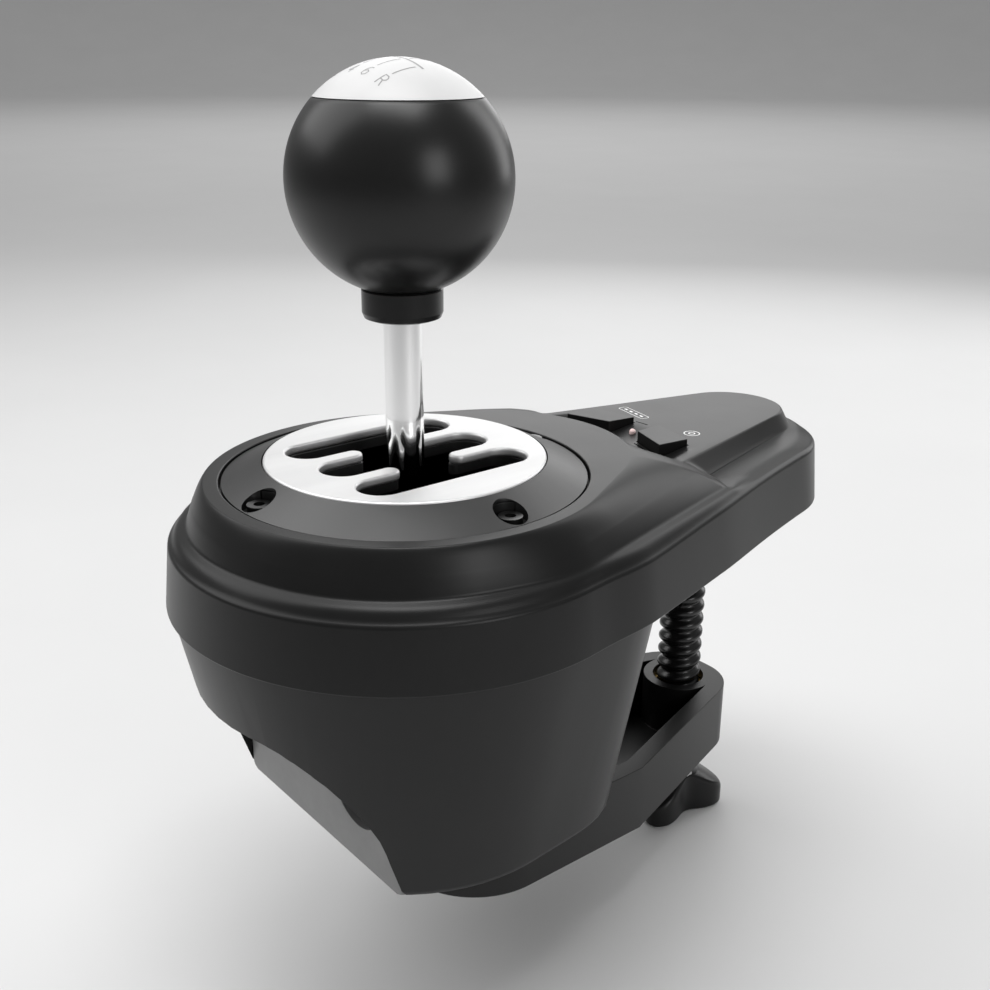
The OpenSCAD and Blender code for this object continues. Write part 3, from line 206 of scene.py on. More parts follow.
def case_profile(a):
    """Closed section of the upper case at angle a, outside first, then the inside back."""
    lines = TopLines(a)
    top_z = band_top(a)
    band = band_at(a, -BAND_EDGE)
    ledge = (band + LEDGE_SHARE * (lines.foot - band), FOOT_Z - LEDGE_SHARE * (FOOT_Z - top_z))
    stops = lines.stops()
    top = []
    for (start, _), (end, steps) in zip(stops, stops[1:]):
        for i in range(1, steps + 1):
            r = start + (end - start) * i / steps
            top.append((r, lines.height(a, r)))
    side = rounded([
        (band_at(a, BAND_FLARE - WALL), CASE_Z, 0),
        (band_at(a, BAND_FLARE), CASE_Z, 0.5),
        (band_at(a, TURN_FLARE * BAND_FLARE), top_z - TURN_DROP, 0.9),
        (band, top_z, 0.7),
        (*ledge, 2.2),
        (lines.foot, FOOT_Z, 0.8),
        (*top[0], 0),
    ])
    recess = rounded([
        (*top[-1], 0),
        (RECESS_R, RING_Z, 0.4),
        (RECESS_R, SEAT_Z, 0.2),
        (SEAT_IN_R, SEAT_Z, 0),
    ])
    inner_rim = min(lines.wall - SIDE_INSET, lines.rim - RIM_INSET)
    inner_flat = min(inner_rim - INNER_STEP, lines.flat - TOP_INSET)
    inner_low = min(inner_flat - INNER_STEP, lines.slope - TOP_INSET)
    inner_ring = min(inner_low - INNER_STEP, lines.ring - TOP_INSET)
    seat = min(SEAT_OUT_R, inner_ring - SEAT_STEP)
    inside = [
        (SEAT_IN_R, SEAT_LOW),
        (seat, SEAT_LOW),
        (seat, RING_Z - WALL - SEAT_STEP),
        (inner_ring, RING_Z - WALL),
        (inner_low, lines.height(a, lines.slope) - WALL),
        (inner_flat, lines.height(a, lines.flat) - WALL),
        (inner_rim, lines.height(a, lines.rim) - WALL),
        (lines.wall - WALL, shoulder_z(a, lines.wall) - SIDE_SINK),
        (lines.foot - FOOT_INSET, FOOT_Z - WALL),
        (band_at(a, -WALL), top_z - WALL),
    ]
    return side + top[1:-1] + recess + inside


# Mesh helpers; points are in millimetres

# Angles in degrees over which an edge stays hard, by kind of surface
CUT_EDGE, CASE_EDGE, SOFT_EDGE, THREAD_EDGE, ROUND_EDGE = 30, 34, 40, 50, 60


def link_mesh(name, points, faces):
    mesh = bpy.data.meshes.new(name)
    mesh.from_pydata([[c * MM for c in p] for p in points], [], faces)
    mesh.validate()
    piece = bpy.data.objects.new(name, mesh)
    bpy.context.scene.collection.objects.link(piece)
    return piece


def mesh_piece(name, points, faces, body, nodes, look, smooth_angle):
    """Object from points, riding on a body and standing for CAD nodes."""
    piece = link_mesh(name, points, faces)
    finish_piece(piece, body, nodes, look, smooth_angle)
    return piece


def finish_piece(piece, body, nodes, look, smooth_angle):
    soften(piece.data, smooth_angle)
    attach(piece, body)
    if nodes:
        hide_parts(*nodes)
    piece.data.materials.clear()
    piece.data.materials.append(MATERIALS[look])


def soften(mesh, angle):
    """Smooth shading with edges over the angle kept sharp, normals outwards."""
    work = bmesh.new()
    work.from_mesh(mesh)
    bmesh.ops.recalc_face_normals(work, faces=work.faces)
    limit = math.radians(angle)
    for face in work.faces:
        face.smooth = True
    for edge in work.edges:
        edge.smooth = not (len(edge.link_faces) == 2 and edge.calc_face_angle(0) > limit)
    work.to_mesh(mesh)
    work.free()


def grid_faces(rows, columns, close_rows=False, close_columns=False):
    """Quads over a grid whose point (i, k) has the index i * columns + k."""
    faces = []
    for i in range(rows if close_rows else rows - 1):
        for k in range(columns if close_columns else columns - 1):
            j, m = (i + 1) % rows, (k + 1) % columns
            faces.append((i * columns + k, i * columns + m, j * columns + m, j * columns + k))
    return faces


def baked(piece):
    """Applies the piece's modifiers to its mesh."""
    bpy.context.view_layer.update()
    depsgraph = bpy.context.evaluated_depsgraph_get()
    result = bpy.data.meshes.new_from_object(piece.evaluated_get(depsgraph))
    old = piece.data
    piece.modifiers.clear()
    piece.data = result
    bpy.data.meshes.remove(old)


def even_shading(piece):
    """Large faces shade evenly up to their softened edges."""
    modifier = piece.modifiers.new("normals", "WEIGHTED_NORMAL")
    modifier.keep_sharp = True
    baked(piece)


def cut_out(piece, cutters):
    """Cuts the cutters, given as (points, faces), out of the piece."""
    made = []
    for points, faces in cutters:
        cutter = link_mesh("cutter", points, faces)
        soften(cutter.data, CUT_EDGE)
        modifier = piece.modifiers.new("cut", "BOOLEAN")
        modifier.object = cutter
        modifier.operation = "DIFFERENCE"
        modifier.solver = "EXACT"
        made.append(cutter)
    baked(piece)
    for cutter in made:
        mesh = cutter.data
        bpy.data.objects.remove(cutter)
        bpy.data.meshes.remove(mesh)


def prism(outline, low, high):
    """Upright prism over an outline, as (points, faces)."""
    n = len(outline)
    points = [(x, y, z) for z in (low, high) for x, y in outline]
    faces = [tuple(range(n - 1, -1, -1)), tuple(range(n, 2 * n))]
    faces += [(i, (i + 1) % n, n + (i + 1) % n, n + i) for i in range(n)]
    return points, faces


def circle(x, y, r, count=32):
    return [(x + r * math.cos(math.tau * i / count), y + r * math.sin(math.tau * i / count))
            for i in range(count)]


def ring_of(r, z, around):
    """Points of a level circle around the Z axis."""
    return [(x, y, z) for x, y in circle(0, 0, r, around)]


def ribbon(line, width):
    """Closed outline of a stroke of the given width along a line."""
    sides = ([], [])
    for i, here in enumerate(line):
        before, after = line[max(i - 1, 0)], line[min(i + 1, len(line) - 1)]
        along = (Vector(after) - Vector(before)).normalized()
        across = Vector((-along.y, along.x)) * width / 2
        sides[0].append((here[0] - across.x, here[1] - across.y))
        sides[1].append((here[0] + across.x, here[1] + across.y))
    return sides[0] + sides[1][::-1]


def own_copy(node, name):
    """A new object with a copy of a CAD node's mesh."""
    piece = bpy.data.objects.new(name, NODES[node].data.copy())
    bpy.context.scene.collection.objects.link(piece)
    return piece


# Limits in degrees: faces this level become one, edges over this angle are softened
FLAT_LIMIT, EDGE_LIMIT = 0.6, 35
MERGE = 1e-6


def bevelled_copy(node, width):
    """A copy of a CAD node with softened edges, standing for that node."""
    piece = own_copy(node, node + "_soft")
    work = bmesh.new()
    work.from_mesh(piece.data)
    bmesh.ops.remove_doubles(work, verts=work.verts, dist=MERGE)
    bmesh.ops.dissolve_limit(work, angle_limit=math.radians(FLAT_LIMIT), verts=work.verts,
                             edges=work.edges)
    work.to_mesh(piece.data)
    work.free()
    modifier = piece.modifiers.new("bevel", "BEVEL")
    modifier.width = width * MM
    modifier.segments = 3
    modifier.limit_method = "ANGLE"
    modifier.angle_limit = math.radians(EDGE_LIMIT)
    modifier.use_clamp_overlap = True
    baked(piece)
    finish_piece(piece, BODY_OF[node], (node,), SLOT_OF[node], SOFT_EDGE)
    even_shading(piece)


# Materials

BUMP_GAIN, MOST_BUMP = 8, 0.6


def noise(nodes, size, detail, rough):
    """Noise texture whose features have a size in millimetres."""
    node = nodes.new("ShaderNodeTexNoise")
    node.inputs["Scale"].default_value = 1 / (size * MM)
    node.inputs["Detail"].default_value = detail
    node.inputs["Roughness"].default_value = rough
    return node


def moulded(name, dark, light, rough, spread=0.06, grain=0.35, relief=0.02, metal=0.0,
            stretch=(1, 1, 1), coat=0.0, cloud=18.0, shine=0.5):
    """Colour that drifts between two tones, uneven roughness and a fine surface grain.

    grain, relief and cloud are in millimetres: the grain's size, its depth and the size
    of the slow drift.
    """
    material = bpy.data.materials.new(name)
    material.use_nodes = True
    nodes, links = material.node_tree.nodes, material.node_tree.links
    shader = nodes["Principled BSDF"]
    shader.inputs["Metallic"].default_value = metal
    shader.inputs["Coat Weight"].default_value = coat
    shader.inputs["Specular IOR Level"].default_value = shine
    place = nodes.new("ShaderNodeTexCoord")
    mapping = nodes.new("ShaderNodeMapping")
    mapping.inputs["Scale"].default_value = stretch
    links.new(place.outputs["Object"], mapping.inputs["Vector"])
    clouds = noise(nodes, cloud, 4.0, 0.6)
    fine = noise(nodes, grain, 3.0, 0.55)
    links.new(mapping.outputs["Vector"], clouds.inputs["Vector"])
    links.new(mapping.outputs["Vector"], fine.inputs["Vector"])
    ramp = nodes.new("ShaderNodeValToRGB")
    ramp.color_ramp.elements[0].position = 0.3
    ramp.color_ramp.elements[0].color = (*dark, 1)
    ramp.color_ramp.elements[1].position = 0.7
    ramp.color_ramp.elements[1].color = (*light, 1)
    links.new(clouds.outputs["Fac"], ramp.inputs["Fac"])
    links.new(ramp.outputs["Color"], shader.inputs["Base Color"])
    uneven = nodes.new("ShaderNodeMapRange")
    uneven.inputs["To Min"].default_value = max(rough - spread, 0.02)
    uneven.inputs["To Max"].default_value = min(rough + spread, 1.0)
    links.new(clouds.outputs["Fac"], uneven.inputs["Value"])
    links.new(uneven.outputs["Result"], shader.inputs["Roughness"])
    bump = nodes.new("ShaderNodeBump")
    bump.inputs["Strength"].default_value = min(relief * BUMP_GAIN, MOST_BUMP)
    bump.inputs["Distance"].default_value = relief * MM
    links.new(fine.outputs["Fac"], bump.inputs["Height"])
    links.new(bump.outputs["Normal"], shader.inputs["Normal"])
    return material


def grey(v, warm=0.0):
    return (v * (1 + warm), v, v * (1 - warm))


def plastic(name, tone, rough, relief=0.012, shine=0.5):
    """Dark moulded plastic with a fine even grain."""
    return moulded(name, grey(tone), grey(tone * 1.3), rough, spread=0.03, grain=0.3,
                   relief=relief, shine=shine)


def steel(name, tone, rough, spread=0.06, relief=0.004, stretch=(1, 1, 1), metal=1.0):
    """Worked metal; a small stretch value draws the grain out along that axis."""
    return moulded(name, grey(tone), grey(tone * 1.15), rough, spread=spread, grain=0.45,
                   relief=relief, metal=metal, stretch=stretch)


# Each look: the kind of finish and its values
LOOKS = {
    "case_black": (plastic, dict(tone=0.005, rough=0.36, shine=0.3)),
    # panel_black: the tone is raised far above the case's as painted light, standing in for the
    # strong low light on the front panel
    "panel_black": (plastic, dict(tone=0.19, rough=0.42)),
    "bezel_black": (plastic, dict(tone=0.008, rough=0.36, relief=0.006, shine=1.0)),
    "guide_black": (plastic, dict(tone=0.006, rough=0.5)),
    "button_black": (plastic, dict(tone=0.005, rough=0.36, relief=0.006, shine=0.3)),
    "switch_black": (plastic, dict(tone=0.012, rough=0.55)),
    "arm_black": (plastic, dict(tone=0.006, rough=0.38, shine=0.35)),
    "block_dark": (plastic, dict(tone=0.02, rough=0.5)),
    "collar_black": (plastic, dict(tone=0.005, rough=0.26, relief=0.004, shine=0.35)),
    "knob_black": (plastic, dict(tone=0.004, rough=0.33, relief=0.002, shine=0.4)),
    "screw_black": (plastic, dict(tone=0.005, rough=0.26, relief=0.006)),
    "hand_knob_black": (plastic, dict(tone=0.005, rough=0.3, relief=0.006, shine=0.3)),
    "rubber_black": (moulded, dict(dark=grey(0.013), light=grey(0.02), rough=0.78, spread=0.08,
                                   grain=0.5, relief=0.08)),
    "plate_silver": (steel, dict(tone=0.7, rough=0.5, spread=0.04, relief=0.003,
                                 stretch=(1, 0.08, 1))),
    # screw_steel: the tone is darkened as painted shade, standing in for the shade deep in the
    # bezel's screw pockets
    "screw_steel": (steel, dict(tone=0.09, rough=0.3, spread=0.08, relief=0.01)),
    "screw_dark": (steel, dict(tone=0.03, rough=0.35, spread=0.1, relief=0.01, metal=0.7)),
    "socket_steel": (steel, dict(tone=0.42, rough=0.3, spread=0.08)),
    "frame_steel": (steel, dict(tone=0.42, rough=0.36, spread=0.08, relief=0.006,
                                stretch=(0.1, 1, 1))),
    "spring_steel": (steel, dict(tone=0.48, rough=0.28)),
    "cradle_zinc": (moulded, dict(dark=grey(0.42, 0.02), light=grey(0.5, 0.02), rough=0.48,
                                  spread=0.1, grain=0.8, relief=0.03, metal=0.9)),
    "pin_steel": (steel, dict(tone=0.5, rough=0.22, spread=0.05)),
    "rod_chrome": (steel, dict(tone=0.84, rough=0.08, spread=0.02, relief=0.001,
                               stretch=(1, 1, 0.2))),
    "magnet_nickel": (steel, dict(tone=0.5, rough=0.2, spread=0.05, relief=0.002)),
    "insert_brass": (moulded, dict(dark=(0.5, 0.34, 0.12), light=(0.6, 0.42, 0.17), rough=0.28,
                                   spread=0.08, grain=0.4, relief=0.008, metal=1.0,
                                   stretch=(1, 1, 0.1))),
    "light_guide": (moulded, dict(dark=(0.8, 0.5, 0.48), light=(0.92, 0.72, 0.7), rough=0.2,
                                  relief=0.002, coat=0.3)),
    "board_green": (moulded, dict(dark=(0.01, 0.07, 0.03), light=(0.015, 0.1, 0.045), rough=0.3,
                                  spread=0.08, grain=0.8, relief=0.02, coat=0.4)),
    "cap_white": (moulded, dict(dark=grey(0.66), light=grey(0.7), rough=0.45, spread=0.04,
                                grain=0.4, relief=0.002)),
    "print_grey": (moulded, dict(dark=grey(0.3), light=grey(0.34), rough=0.4, relief=0.001)),
    "print_pale": (moulded, dict(dark=grey(0.88), light=grey(0.92), rough=0.5, relief=0.001)),
}
MATERIALS = {name: make(name, **values) for name, (make, values) in LOOKS.items()}

for node, obj in NODES.items():
    for place in obj.material_slots:
        place.material = MATERIALS[SLOT_OF[node]]


# Upper case with its cut-outs

RAYS, RAY_POWER = 420, 1.4
BUTTON = [(5.2, -21.7), (6.0, -31.4), (19.5, -36.2), (20.1, -25.1)]
BUTTON_GAP = 0.35
LIGHT_Y, LIGHT_R = -27.4, 1.15
SOCKET_HALF, SOCKET_NEAR, SOCKET_FAR = 4.8, 20, 60
SOCKET_LOW, SOCKET_HIGH = 8.3, 14.9
GROOVE = [(6.7, -33.3), (10.1, -34.3), (13.3, -35.5), (16.4, -37.5), (18.9, -39.9)]
JOINT_LINE = [(-5.6, -20.4), (-0.8, -20.1)]
GROOVE_W, GROOVE_LOW, LINE_LOW = 0.55, 25.5, 26.8
BELOW_TOP, ABOVE = 18, 40


def ray_angles():
    """Angles from +Y around the lever's axis, closer together towards the tail."""
    shares = [2 * i / RAYS - 1 for i in range(RAYS)]
    return [180 * math.copysign(abs(s) ** RAY_POWER, s) for s in shares]


def widened(outline, d):
    """The outline with every side moved outwards by d."""
    out = []
    n = len(outline)
    for i in range(n):
        before, here, after = (Vector(outline[(i + k) % n]) for k in (-1, 0, 1))
        side_in = (here - before).normalized()
        side_out = (after - here).normalized()
        normal_in = Vector((side_in.y, -side_in.x))
        normal_out = Vector((side_out.y, -side_out.x))
        corner = here + (normal_in + normal_out) * d / (1 + normal_in.dot(normal_out))
        out.append((corner.x, corner.y))
    return out


def mirrored(outline):
    return [(-x, y) for x, y in reversed(outline)]


def upper_case():
    sections = [case_profile(a) for a in ray_angles()]
    points = []
    for a, section in zip(ray_angles(), sections):
        s, c = math.sin(math.radians(a)), math.cos(math.radians(a))
        points += [(r * s, LEVER_Y + r * c, z) for r, z in section]
    faces = grid_faces(RAYS, len(sections[0]), True, True)
    case = mesh_piece("upper_case", points, faces, "root", ("top_case",), "case_black",
                      CASE_EDGE)
    opening = widened(BUTTON, BUTTON_GAP)
    groove = ribbon(GROOVE, GROOVE_W)
    cutters = [prism(outline, BELOW_TOP, ABOVE) for outline in (opening, mirrored(opening))]
    cutters += [prism(outline, GROOVE_LOW, ABOVE) for outline in (groove, mirrored(groove))]
    cutters.append(prism(ribbon(JOINT_LINE, GROOVE_W), LINE_LOW, ABOVE))
    cutters.append(prism(circle(0, LIGHT_Y, LIGHT_R), BELOW_TOP, ABOVE))
    mouth = [(-SOCKET_HALF, SOCKET_NEAR), (SOCKET_HALF, SOCKET_NEAR),
             (SOCKET_HALF, SOCKET_FAR), (-SOCKET_HALF, SOCKET_FAR)]
    cutters.append(prism(mouth, SOCKET_LOW, SOCKET_HIGH))
    cut_out(case, cutters)
    soften(case.data, CASE_EDGE)
    even_shading(case)


upper_case()

# Softened copies of the solids whose edges show, with the width of their softened edges
EDGES = {
    "lower_case": 0.6, "front_panel": 0.35, "gate_plate": 0.7, "gate_bezel": 0.4,
    "gate_guide": 0.3, "clamp_arm": 0.8, "button_left": 0.4, "button_right": 0.4,
    "desk_pad": 0.5, "tail_base": 0.3, "pressure_pad": 0.5, "pad_rubber": 0.5,
    "thread_insert": 0.4,
}
for node, width in EDGES.items():
    bevelled_copy(node, width)


# Springs, as copies of the solids' coils riding on their bodies


def squashed_spring(node):
    piece = own_copy(node, node + "_coil")
    finish_piece(piece, BODY_OF[node], (node,), SLOT_OF[node], ROUND_EDGE)
    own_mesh(piece)


squashed_spring("push_spring")
for node in ("centring_spring_left", "centring_spring_right"):
    squashed_spring(node)


# Clamp screw with its helical thread and the ball joint at its top

PITCH, SCREW_R, THREAD, THREAD_CURVE = 4.8, 7.2, 1.5, 1.3
THREAD_LOW, THREAD_HIGH, THREAD_STEP = -98.0, -25.0, 0.3
RUN_IN, RUN_OUT = 3, 4
SHANK_LOW, SHANK_R, SHANK_EDGE, SHANK_GAP = -112.0, 5.0, 0.4, 0.2
JOINT_Z, JOINT_R, NECK_R, NECK_RISE = -19.8, 5.0, 3.6, 0.4
SCREW_AROUND, JOINT_RINGS, TIP_R = 60, 16, 0.01


def thread_ring(z):
    """One ring of the thread, whose depth fades out at both ends."""
    fade = ease(0, RUN_IN, z - THREAD_LOW) * ease(0, RUN_OUT, THREAD_HIGH - z)
    ring = []
    for k in range(SCREW_AROUND):
        turn = k / SCREW_AROUND
        wave = (1 + math.cos(math.tau * (z / PITCH - turn))) / 2
        r = SCREW_R - THREAD + THREAD * (1 - (1 - wave) ** THREAD_CURVE) * fade
        ring.append((r * math.cos(math.tau * turn), r * math.sin(math.tau * turn), z))
    return ring


def threaded_screw():
    rings = [ring_of(r, z, SCREW_AROUND) for r, z in (
        (SHANK_R - SHANK_EDGE, SHANK_LOW), (SHANK_R, SHANK_LOW + SHANK_EDGE),
        (SHANK_R, THREAD_LOW - SHANK_GAP))]
    steps = int((THREAD_HIGH - THREAD_LOW) / THREAD_STEP)
    rings += [thread_ring(THREAD_LOW + i * THREAD_STEP) for i in range(steps + 1)]
    rings.append(ring_of(NECK_R, THREAD_HIGH + NECK_RISE, SCREW_AROUND))
    neck = math.asin(NECK_R / JOINT_R)
    for i in range(JOINT_RINGS):
        t = (math.pi - neck) * (1 - i / (JOINT_RINGS - 1))
        r = max(JOINT_R * math.sin(t), TIP_R)
        rings.append(ring_of(r, JOINT_Z + JOINT_R * math.cos(t), SCREW_AROUND))
    faces = grid_faces(len(rings), SCREW_AROUND, False, True)
    faces.append(tuple(range(SCREW_AROUND)))
    mesh_piece("threaded_screw", [p for ring in rings for p in ring], faces, "clamp_spindle",
               ("clamp_screw",), "screw_black", THREAD_EDGE)


threaded_screw()


# Hand knob with three sloping lobes

HAND_Z, HUB_R, HUB_TOP, HOLLOW_R, LOBE_R = -115.0, 8.2, -98.1, 8.5, 17.9
LOBES, LOBE_TURN, LOBE_POINT, KNOB_AROUND = 3, math.radians(56), 0.55, 180
KNOB_BORE, KNOB_CORE = 5.05, 0.4
KNOB_FLOOR, KNOB_DISH, KNOB_EDGE_R, KNOB_EDGE_Z = HAND_Z + 2.9, 0.8, 1.2, 0.6
# The lobes' top slopes from the hub down to a low end outside the knob
SLOPE_END_R, SLOPE_END_Z, SLOPE_DROP = LOBE_R + 11.9, HAND_Z - 1, 15.6


def lobe_z(r):
    """Height of the knob's sloping top at radius r."""
    return SLOPE_END_Z + SLOPE_DROP * (SLOPE_END_R - r) / (SLOPE_END_R - HUB_R)


def lobed_knob():
    columns = []
    for k in range(KNOB_AROUND):
        a = math.tau * k / KNOB_AROUND
        t = (1 + math.cos(LOBES * (a - LOBE_TURN))) / 2
        out = HOLLOW_R + (LOBE_R - HOLLOW_R) * ((1 - LOBE_POINT) * t + LOBE_POINT * t * t)
        section = rounded([
            (KNOB_BORE, KNOB_FLOOR, 0),
            (KNOB_CORE, KNOB_FLOOR, 0),
            (KNOB_CORE, HAND_Z + KNOB_DISH, 0),
            (out - KNOB_EDGE_R, HAND_Z, 0.8),
            (out, HAND_Z + KNOB_EDGE_Z, 1.2),
            (out, lobe_z(out), 1.8),
            (HUB_R, lobe_z(HUB_R), 1.6),
            (HUB_R, HUB_TOP, 1.0),
            (KNOB_BORE, HUB_TOP, 0),
        ])
        columns.append([(r * math.cos(a), r * math.sin(a), z) for r, z in section])
    faces = grid_faces(KNOB_AROUND, len(columns[0]), True, True)
    mesh_piece("lobed_knob", [p for column in columns for p in column], faces,
               "clamp_spindle", ("hand_knob",), "hand_knob_black", SOFT_EDGE)


lobed_knob()


# Ball knob: body and cap turned on the lever's axis

BALL_Z, BALL_R, BALL_FLAT, BALL_AROUND = 105.8, 27.5, 1.7, 128
BALL_LOW, BALL_HIGH = BALL_Z - BALL_R + BALL_FLAT, BALL_Z + BALL_R - 0.0001
INSERT_R, INSERT_H, PLUG_R, PLUG_H = 7.05, 20, 15.15, 3.2
SEAM_Z, SEAM_LOW, SEAM_EDGE, SEAM_RISE = 124.4, 0.08, 0.25, 0.02
CAP_GAP, CAP_PLUG_H, CAP_PLUG_GAP, CAP_UNDER, CAP_LIP, AXIS_R = 0.22, 3, 0.15, 0.12, 0.4, 0.02
BODY_STEPS, CAP_STEPS = 56, 28


def turned(name, section, nodes, look):
    """Closed section in (radius, height) turned around the lever's axis."""
    points = []
    for k in range(BALL_AROUND):
        a = math.tau * k / BALL_AROUND
        points += [(r * math.cos(a), LEVER_Y + r * math.sin(a), z) for r, z in section]
    faces = grid_faces(BALL_AROUND, len(section), True, True)
    mesh_piece(name, points, faces, "push", nodes, look, CASE_EDGE)


def ball_arc(low_z, high_z, steps):
    first = math.acos((low_z - BALL_Z) / BALL_R)
    last = math.acos((high_z - BALL_Z) / BALL_R)
    turns = [first + (last - first) * i / steps for i in range(steps + 1)]
    return [(BALL_R * math.sin(t), BALL_Z + BALL_R * math.cos(t)) for t in turns]


def ball_body():
    side = ball_arc(BALL_LOW, SEAM_Z - SEAM_LOW, BODY_STEPS)
    seam_r = side[-1][0]
    bore = [(INSERT_R, BALL_LOW + INSERT_H), (INSERT_R, BALL_LOW)]
    top = [(seam_r - SEAM_EDGE, SEAM_Z + SEAM_RISE), (seam_r - 2 * SEAM_EDGE, SEAM_Z),
           (PLUG_R, SEAM_Z), (PLUG_R, SEAM_Z - PLUG_H), (INSERT_R, SEAM_Z - PLUG_H)]
    turned("ball", bore + side + top, ("knob_body",), "knob_black")


def ball_cap():
    dome = ball_arc(SEAM_Z + CAP_GAP, BALL_HIGH, CAP_STEPS)
    plug_r = PLUG_R - CAP_PLUG_GAP
    under = [(AXIS_R, SEAM_Z - CAP_PLUG_H), (plug_r, SEAM_Z - CAP_PLUG_H),
             (plug_r, SEAM_Z + CAP_UNDER), (dome[0][0] - CAP_LIP, SEAM_Z + CAP_UNDER)]
    turned("cap_disc", under + dome, ("knob_cap",), "cap_white")


ball_body()
ball_cap()


# Printed marks: plain strokes laid just above a surface

PRINT_STEP, CAP_LIFT, ISLAND_LIFT = 0.6, 0.03, 0.02


def print_marks(name, strokes, lay, body, look):
    """One piece from strokes, each a (line, width); lay puts a plan point on the surface."""
    points, faces = [], []
    for line, width in strokes:
        dense = [line[0]]
        for a, b in zip(line, line[1:]):
            count = max(int(math.dist(a, b) / PRINT_STEP), 1)
            dense += [(a[0] + (b[0] - a[0]) * i / count, a[1] + (b[1] - a[1]) * i / count)
                      for i in range(1, count + 1)]
        outline = ribbon(dense, width)
        first, n = len(points), len(dense)
        points += [lay(x, y) for x, y in outline]
        faces += [(first + i, first + i + 1, first + 2 * n - 2 - i, first + 2 * n - 1 - i)
                  for i in range(n - 1)]
    mesh_piece(name, points, faces, body, (), look, ROUND_EDGE)


def on_cap(x, y):
    r = BALL_R + CAP_LIFT
    return (x, LEVER_Y + y, BALL_Z + math.sqrt(r * r - x * x - y * y))


def on_island(x, y):
    return (x, y, ISLAND_Z + ISLAND_LIFT)


# Strokes of each sign, whose height runs from -1 to 1
DIGITS = {
    "1": [[(-0.3, 0.7), (0.15, 1), (0.15, -1)]],
    "2": [[(-0.5, 0.6), (-0.2, 1), (0.3, 1), (0.5, 0.6), (0.4, 0.1), (-0.5, -1), (0.5, -1)]],
    "3": [[(-0.5, 0.8), (0, 1), (0.45, 0.8), (0.45, 0.3), (0, 0.05), (0.5, -0.3), (0.45, -0.8),
           (0, -1), (-0.5, -0.8)]],
    "4": [[(0.25, -1), (0.25, 1), (-0.55, -0.35), (0.55, -0.35)]],
    "5": [[(0.45, 1), (-0.4, 1), (-0.45, 0.15), (0.1, 0.3), (0.5, -0.1), (0.45, -0.75), (0, -1),
           (-0.5, -0.8)]],
    "6": [[(0.4, 0.9), (-0.1, 0.9), (-0.5, 0.2), (-0.45, -0.7), (0, -1), (0.45, -0.7),
           (0.45, -0.1), (0, 0.15), (-0.45, -0.15)]],
    "R": [[(-0.45, -1), (-0.45, 1), (0.2, 1), (0.5, 0.7), (0.5, 0.3), (0.2, 0), (-0.45, 0)],
          [(0.1, 0), (0.5, -1)]],
}
GEARS = [("1", "2"), ("3", "4"), ("5", "6"), (None, "R")]
COLUMN_X, COLUMN_STEP, BAR_Y, BAR_OVER = -7.2, 5.8, -1.0, 1.2
LANE_START, LANE_END, DIGIT_OUT, DIGIT_H = 1.2, 7.6, 10.3, 1.6
BAR_W, LANE_W = 0.6, 0.32


def shift_pattern():
    columns = [COLUMN_X + COLUMN_STEP * i for i in range(len(GEARS))]
    strokes = [([(columns[0], BAR_Y), (columns[-1] + BAR_OVER, BAR_Y)], BAR_W)]
    for x, gears in zip(columns, GEARS):
        for gear, way in zip(gears, (1, -1)):
            if gear is None:
                continue
            lane = [(x, BAR_Y + way * LANE_START), (x, BAR_Y + way * LANE_END)]
            middle = BAR_Y + way * DIGIT_OUT
            strokes.append((lane, LANE_W))
            strokes += [([(x + DIGIT_H * u, middle + DIGIT_H * v) for u, v in line], LANE_W)
                        for line in DIGITS[gear]]
    print_marks("cap_print", strokes, on_cap, "push", "print_grey")


shift_pattern()

# The outlined bar: place, half its length and width, cut corners and its row of dashes
LABEL = dict(x=-12.7, y=-14.3, turn=math.radians(-11), half_long=6.6, half_wide=1.5, corner=0.6,
             line_w=0.22, dashes=4, dash_step=2.8, half_dash=0.75, dash_w=0.7)
# The ring with a dot
MARK = dict(x=13.2, y=-15.8, ring_r=2.3, dot_r=0.9, ring_w=0.3, dot_w=0.35)


def turned_by(x, y, turn, plan):
    c, s = math.cos(turn), math.sin(turn)
    return [(x + c * u - s * v, y + s * u + c * v) for u, v in plan]


def bar_outline(long, wide, corner):
    """Closed line around a bar with cut corners, from half its length and width."""
    line = [(-long + corner, -wide), (long - corner, -wide), (long, -wide + corner),
            (long, wide - corner), (long - corner, wide), (-long + corner, wide),
            (-long, wide - corner), (-long, -wide + corner)]
    return line + line[:1]


def island_marks():
    """An outlined bar with dashes behind one button, a ring with a dot behind the other."""
    outline = bar_outline(LABEL["half_long"], LABEL["half_wide"], LABEL["corner"])
    plans = [(outline, LABEL["line_w"])]
    for i in range(LABEL["dashes"]):
        middle = (i - (LABEL["dashes"] - 1) / 2) * LABEL["dash_step"]
        dash = [(middle - LABEL["half_dash"], 0), (middle + LABEL["half_dash"], 0)]
        plans.append((dash, LABEL["dash_w"]))
    strokes = [(turned_by(LABEL["x"], LABEL["y"], LABEL["turn"], plan), width)
               for plan, width in plans]
    rim = circle(MARK["x"], MARK["y"], MARK["ring_r"], 36)
    dot = circle(MARK["x"], MARK["y"], MARK["dot_r"], 18)
    strokes += [(rim + rim[:1], MARK["ring_w"]), (dot + dot[:1], MARK["dot_w"])]
    print_marks("island_print", strokes, on_island, "root", "print_pale")


island_marks()


# Floor, light and camera

# The floor is flat around the object and rises gently far away on every side
FLOOR_Z, FLAT_R, FLOOR_R, FLOOR_RISE = -115.3, 5500, 9000, 1600
FLAT_RADII, RISE_STEPS, FLOOR_AROUND = [0.01, 500, 1500, 3000, 4500], 12, 96


